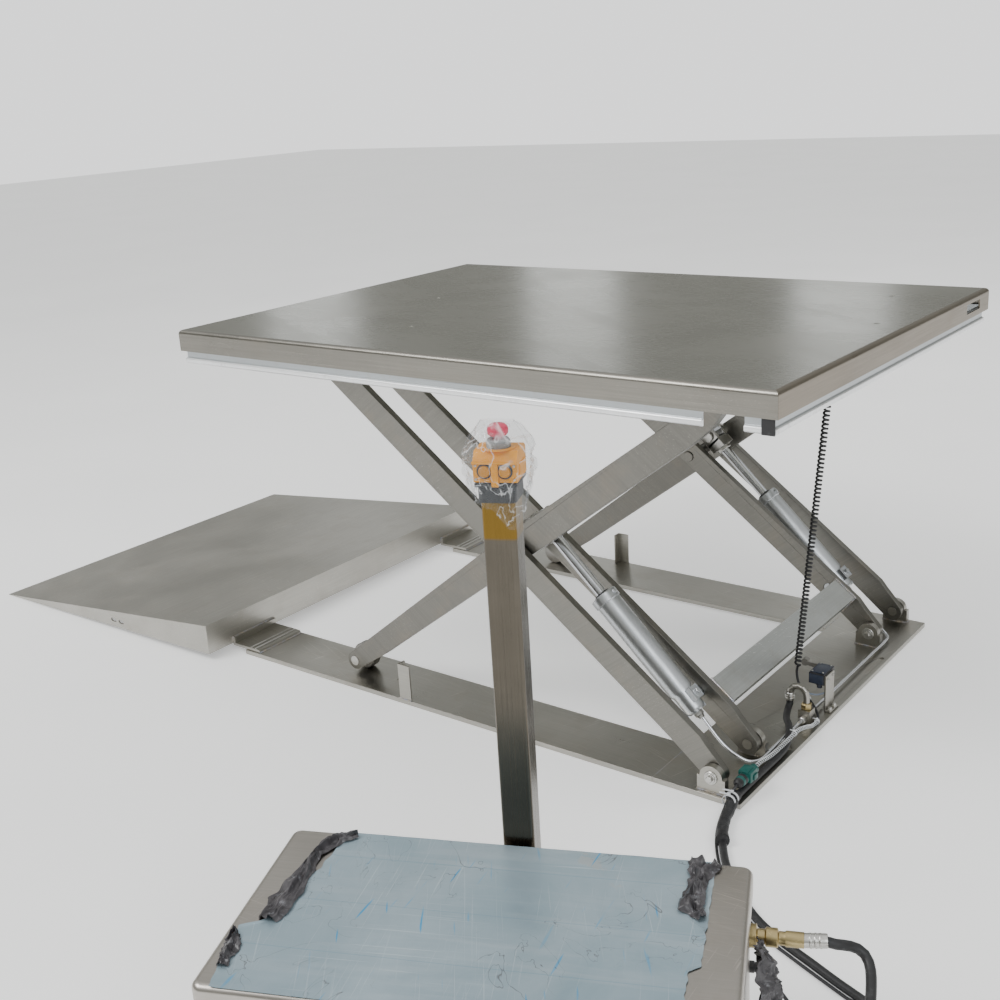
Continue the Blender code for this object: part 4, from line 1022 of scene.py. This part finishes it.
def cylinder_details():
    """The rod's forked head and lock nut, the pin through it, the gland's wiper and the port blocks."""
    for side, sign in SIDES:
        foot, along = cylinder_line(side)
        barrel, rod = "barrel_" + side, "rod_" + side
        square = Y_WAY.cross(along)
        turn = Matrix((along, Y_WAY, square)).transposed()
        rod_low, rod_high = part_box(rod)
        reach = (Vector((rod_low.x + 0.022, foot.y, rod_high.z - 0.022)) - foot).length
        eye = foot + along * reach

        bm = bmesh.new()
        add_block(bm, foot + along * (reach - 0.032), (0.022, 0.05, 0.042), 0.0015, turn)
        for edge in (-1, 1):
            cheek = eye + Vector((0, edge * 0.0205, 0)) - along * 0.003
            add_block(bm, cheek, (0.042, 0.009, 0.042), 0.0012, turn)
        piece("rod_fork_" + side, bm, "bolt_steel", rod)

        bm = bmesh.new()
        nut = [(0.0128, 0), (0.0165, 0), (0.0175, 0.001), (0.0175, 0.009), (0.0165, 0.01), (0.0128, 0.01)]
        add_lathe(bm, nut, foot + along * (reach - 0.054), along, 6)
        piece("rod_nut_" + side, bm, "bolt_steel", rod)

        inward = Vector((0, sign, 0))
        bm = bmesh.new()
        start = facing("crossing_arm_" + side, inward, eye) + inward * GAP
        long = abs(foot.y - start.y) + 0.03
        profile = [(0, 0), (0.02, 0), (0.02, 0.01), (0.0112, 0.011), (0.0112, long), (0.015, long)]
        profile += [(0.015, long + 0.003), (0.014, long + 0.004), (0, long + 0.004)]
        add_lathe(bm, profile, start, inward)
        piece("rod_pin_" + side, bm, "bolt_steel", "crossing_arm")

        bm = bmesh.new()
        gland = 0.29
        wiper = [(0.013, gland + 0.0002), (0.0185, gland + 0.0002), (0.0185, gland + 0.003)]
        wiper += [(0.0145, gland + 0.005), (0.013, gland + 0.005)]
        add_lathe(bm, wiper, foot, along)
        piece("wiper_" + side, bm, "black_rubber", barrel)

        bm = bmesh.new()
        add_block(bm, foot + along * 0.004 + square * 0.026, (0.026, 0.026, 0.012), 0.002, turn)
        add_bolt(bm, foot + along * 0.004 + square * 0.032, square, 0.012, 0.0065)
        add_block(bm, foot - along * 0.022, (0.014, 0.03, 0.034), 0.0015, turn)
        plug = foot + along * (gland - 0.011) + square * 0.0312
        add_lathe(bm, [(0, 0), (0.005, 0), (0.005, 0.004), (0.003, 0.0055), (0, 0.0055)], plug, square, 6)
        for angle in range(0, 360, 60):
            out = Matrix.Rotation(radians(angle), 3, along) @ square
            add_screw(bm, foot + along * 0.0258 + out * 0.0235 - along * 0.0006, -along, 0.0026)
        piece("port_block_" + side, bm, "barrel_steel", barrel)


# Control station, its bag, and the films on the power unit


def station_details():
    low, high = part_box("station_housing")
    foot_low, foot_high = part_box("station_foot")
    button_low, button_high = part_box("up_button")
    button_z = (button_low.z + button_high.z) / 2
    turn = UNIT_MATRIX
    front = turn @ -Y_WAY
    half_wide, face = 0.032, -0.03
    bm = bmesh.new()
    legend = [(0.0178, 0), (0.0248, 0), (0.0252, 0.0006), (0.0248, 0.0014), (0.0178, 0.0014)]
    add_lathe(bm, legend, on_post(0.001, -0.002, high.z + 0.0002), UP, 40)
    tongue = on_post(0, face - 0.0014, foot_high.z + 0.011)
    add_block(bm, tongue, (0.0112, 0.0056, 0.034), 0.002, turn)
    brim = on_post(0, face - 0.001, low.z + 0.0288)
    add_block(bm, brim, (2 * half_wide + 0.002, 0.005, 0.004), 0.0012, turn)
    for x in (-half_wide, half_wide):
        add_block(bm, on_post(x, 0.003, low.z + 0.015), (0.003, 0.04, 0.018), 0.001, turn)
    piece("housing_ribs", bm, "yellow_plastic")
    bm = bmesh.new()
    for x in (-half_wide + 0.004, half_wide - 0.004):
        for z in (low.z + 0.0045, high.z - 0.019):
            add_screw(bm, on_post(x, face, z), front, 0.0021)
    piece("housing_screws", bm, "bolt_steel")
    bm = bmesh.new()
    bezel = [(0.0091, 0), (0.0112, 0), (0.0112, 0.002), (0.0101, 0.003), (0.0091, 0.003)]
    for x in (-0.0148, 0.0148):
        add_lathe(bm, bezel, on_post(x, face, button_z), front, 32)
    add_block(bm, on_post(0, 0, foot_high.z - 0.004), (0.0625, 0.0635, 0.0065), 0.002, turn)
    gland = [(0, 0), (0.0085, 0), (0.0085, 0.007), (0.007, 0.009), (0.007, 0.014), (0, 0.014)]
    add_lathe(bm, gland, on_post(0, 0.028, foot_low.z + 0.014), turn @ Y_WAY, 10)
    piece("station_trim", bm, "black_plastic")


def blend_rows(rows, share):
    """Reads a table of (position, values...) rows at a position, in straight lines."""
    for one, two in pairwise(rows):
        if share <= two[0]:
            t = (share - one[0]) / (two[0] - one[0])
            return [a + (b - a) * t for a, b in zip(one[1:], two[1:])]
    return list(rows[-1][1:])


def film(name, point_at, columns, rows, look, closed=False):
    """A sheet of quads with corners from point_at(column share, row share), and its area."""
    bm = bmesh.new()
    count = columns if closed else columns + 1
    verts = [[bm.verts.new(point_at(i / columns, j / rows)) for i in range(count)] for j in range(rows + 1)]
    for j in range(rows):
        for i in range(columns):
            k = (i + 1) % count
            bm.faces.new((verts[j][i], verts[j][k], verts[j + 1][k], verts[j + 1][i]))
    made = piece(name, bm, look, smooth=180)
    return made, sum(face.area for face in made.data.polygons)


def ridge(spot, sharp=2.2):
    """From 0 to 1: the crest of a crease, where the noise passes through nothing."""
    return max(0.0, 1 - abs(noise.noise(spot)) * sharp)


def packing_bag():
    """A crumpled clear bag pulled down over the control station."""
    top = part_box("estop_button")[1].z + 0.005
    bottom = POST_HIGH.z - 0.004
    half_sizes = [(0.00, 0.031, 0.031), (0.2, 0.036, 0.036), (0.34, 0.0405, 0.039)]
    half_sizes += [(0.66, 0.041, 0.0395), (0.8, 0.037, 0.035), (0.92, 0.028, 0.024)]
    half_sizes += [(0.98, 0.023, 0.013), (1.00, 0.0215, 0.004)]

    def point(around, rise):
        angle = 2 * pi * around
        wide, deep = blend_rows(half_sizes, rise)
        x, y = cos(angle), sin(angle)
        squareness = (abs(x) ** 3.4 + abs(y) ** 3.4) ** (-1 / 3.4)
        tail = max(0.0, cos(angle + 0.95)) ** 6
        start = bottom - 0.034 * tail + 0.004 * noise.noise(Vector((x * 2, y * 2, 5)))
        spot = Vector((x * 2.2, y * 2.2, rise * 4.2))
        slack = 0.001 + 0.0085 * ridge(spot * 1.1, 2) + 0.0035 * ridge(spot * 2.6 + Vector((3, 1, 7)), 2)
        slack *= 0.35 + 0.65 * sin(pi * min(1.0, rise * 0.9 + 0.12))
        across, through = wide * squareness + slack, deep * squareness + slack
        return on_post(across * x, through * y, start + (top - start) * rise)

    made, area = film("packing_bag", point, 150, 96, "clear_film", True)


def lid_film():
    """The protective film left on the lid, torn back along both ends."""
    left_edge = [(-0.19, -0.332), (-0.1, -0.346), (-0.062, -0.345), (-0.046, -0.318), (0.03, -0.292)]
    left_edge += [(0.12, -0.276), (0.191, -0.264)]
    right_edge = [(-0.19, 0.292), (-0.062, 0.29), (-0.05, 0.306), (0.191, 0.309)]
    front, long, wide = -0.19, 0.655, 0.381

    def point(share_x, share_y):
        y = front + wide * share_y
        left = blend_rows(left_edge, y)[0] + 0.0035 * noise.noise(Vector((0, y * 60, 0)))
        right = blend_rows(right_edge, y)[0] + 0.003 * noise.noise(Vector((5, y * 70, 0)))
        x = left + (right - left) * share_x
        edge = min(x - left, right - x)
        curl = 0.0022 * max(0.0, 1 - edge / 0.008) * (0.5 + noise.noise(Vector((x * 3, y * 26, 2))))
        ruck = 0.0006 * max(0.0, noise.noise(Vector((x * 16, y * 24, 1)))) + 0.0003
        return on_unit(x, y, LID_HIGH.z + 0.0002 + ruck + max(0.0, curl))

    made, area = film("lid_film", point, 220, 130, "blue_film")


def crumpled_film(name, line, widths, high, seed):
    """A torn strip of film in a crumpled heap along a line on the lid, as wide as widths says."""
    dice = random.Random(seed)
    shift = Vector((dice.uniform(0, 50), dice.uniform(0, 50), dice.uniform(0, 50)))
    rows = [(i / (len(line) - 1), *Vector(spot), wide) for i, (spot, wide) in enumerate(zip(line, widths))]

    def point(across_share, along_share):
        x, y, wide = blend_rows(rows, along_share)
        x2, y2, _ = blend_rows(rows, min(1.0, along_share + 0.02))
        way = Vector((x2 - x, y2 - y, 0))
        if way.length < 1e-6:
            way = Vector((*line[-1], 0)) - Vector((*line[-2], 0))
        side = Vector((-way.y, way.x, 0)).normalized()
        v = across_share * 2 - 1
        spot = shift + Vector((along_share * 5, v * 1.3, 0))
        ragged = 1 + 0.35 * noise.noise(shift + Vector((along_share * 16, 9 * round(v * 0.5 + 0.5), 0)))
        lift = high * (ridge(spot) * 0.85 + ridge(spot * 2.3) * 0.18) * (1 - 0.75 * v * v)
        sway = 0.1 * wide * noise.noise(spot * 1.7 + Vector((0, 0, 9)))
        here = Vector((x, y, LID_HIGH.z)) + side * (v * wide / 2 * ragged + sway)
        return on_unit(here.x, here.y, here.z + 0.001 + lift)

    made, area = film(name, point, 40, 110, "torn_film")


def torn_films():
    line = [(-0.25, 0.18), (-0.282, 0.165), (-0.3, 0.12), (-0.3, 0.06), (-0.304, 0), (-0.309, -0.046)]
    crumpled_film("torn_film_back", line, [0.01, 0.034, 0.016, 0.034, 0.044, 0.03], 0.014, 4)
    line = [(-0.348, -0.072), (-0.338, -0.1), (-0.332, -0.15)]
    crumpled_film("torn_film_front", line, [0.006, 0.026, 0.016], 0.012, 12)
    line = [(0.292, 0.186), (0.286, 0.13), (0.281, 0.08), (0.3, 0.048)]
    crumpled_film("torn_film_right", line, [0.048, 0.03, 0.038, 0.012], 0.016, 21)


def hanging_film():
    """A rag of film hanging off the case under the hose fitting."""
    shift = Vector((4.2, 8.8, 1.5))
    widths = [(0, 0.03), (0.3, 0.062), (0.75, 0.07), (1, 0.026)]
    top, drop, cut_long = 0.263, 0.15, 0.17

    def point(across_share, down_share):
        v = across_share * 2 - 1
        wide = blend_rows(widths, down_share)[0]
        spot = shift + Vector((down_share * 5, v * 2.2, 0))
        out = 0.004 + 0.03 * sin(pi * down_share) ** 0.7 * (1 - v * v)
        out += 0.01 * ridge(spot) + 0.004 * ridge(spot * 2.6)
        y = 0.062 + v * wide / 2 + 0.004 * noise.noise(spot * 1.4)
        return on_unit(UNIT_END + 0.0006 + out, y, top - drop * down_share)

    made, area = film("torn_film_hanging", point, 60, 90, "torn_film")


# Stage


def make_floor():
    bm = bmesh.new()
    bmesh.ops.create_grid(bm, x_segments=2, y_segments=2, size=22)
    for vert in bm.verts:
        vert.co.z = -0.0005
    mesh = bpy.data.meshes.new("floor")
    bm.to_mesh(mesh)
    bm.free()
    g = Graph("floor")
    clouds = g.noise(1.2, 4.0, 0.6)
    base = g.between(clouds, 0.3, 0.7, (0.8, 0.8, 0.79), (0.84, 0.84, 0.83))
    glow = {"Emission Strength": 0.42, "Emission Color": (0.98, 0.99, 1.0)}
    g.finish(base, g.spread(clouds, 0.3, 0.7, 0.6, 0.7), g.noise(240.0, 3.0, 0.6), 0.0006, 0.1, **glow)
    mesh.materials.append(LOOKS["floor"])
    link("floor", mesh)


def make_world():
    """A hall for the steel to reflect; the camera itself sees a plain pale ground."""
    g = Graph("room", "worlds")
    ramp = g.add("ValToRGB", Fac=g.spread(g.part(g.coordinates["Generated"], 2), -1.0, 1.0))
    stops = (
        (0.0, (0.4, 0.4, 0.39)),
        (0.5, (0.26, 0.26, 0.24)),
        (0.62, (0.27, 0.27, 0.245)),
        (0.75, (0.46, 0.47, 0.46)),
        (1.0, (1.0, 1.0, 1.0)),
    )
    while len(ramp.color_ramp.elements) < len(stops):
        ramp.color_ramp.elements.new(0.5)
    for element, (spot, colour) in zip(ramp.color_ramp.elements, stops):
        element.position = spot
        element.color = (*colour, 1)
    hall = g.add("Background", Color=ramp.outputs[0], Strength=1.15)
    plain = g.add("Background", Color=(0.93, 0.935, 0.94), Strength=1.6)
    choose = g.add("MixShader", Fac=g.add("LightPath").outputs["Is Camera Ray"])
    for index, ground in ((1, hall), (2, plain)):
        g.put(choose.inputs[index], ground.outputs[0])
    g.add("OutputWorld", Surface=choose.outputs[0])
    bpy.context.scene.world = g.owner


make_looks()
make_camera()
hose_line = supply_hose()
cable_line = switch_cable()
signal_lead(hose_line)
curly_cable()
steel_line()
spiral_wrap(cable_line)
hose_details(hose_line)
bundle_ties(cable_line)
connector_details()
line_nuts()
switch_details(cable_line)
pins()
welds()
bracket_ribs()
cylinder_details()
station_details()
packing_bag()
lid_film()
torn_films()
hanging_film()
dress_nodes()
make_floor()
make_world()
make_lights()
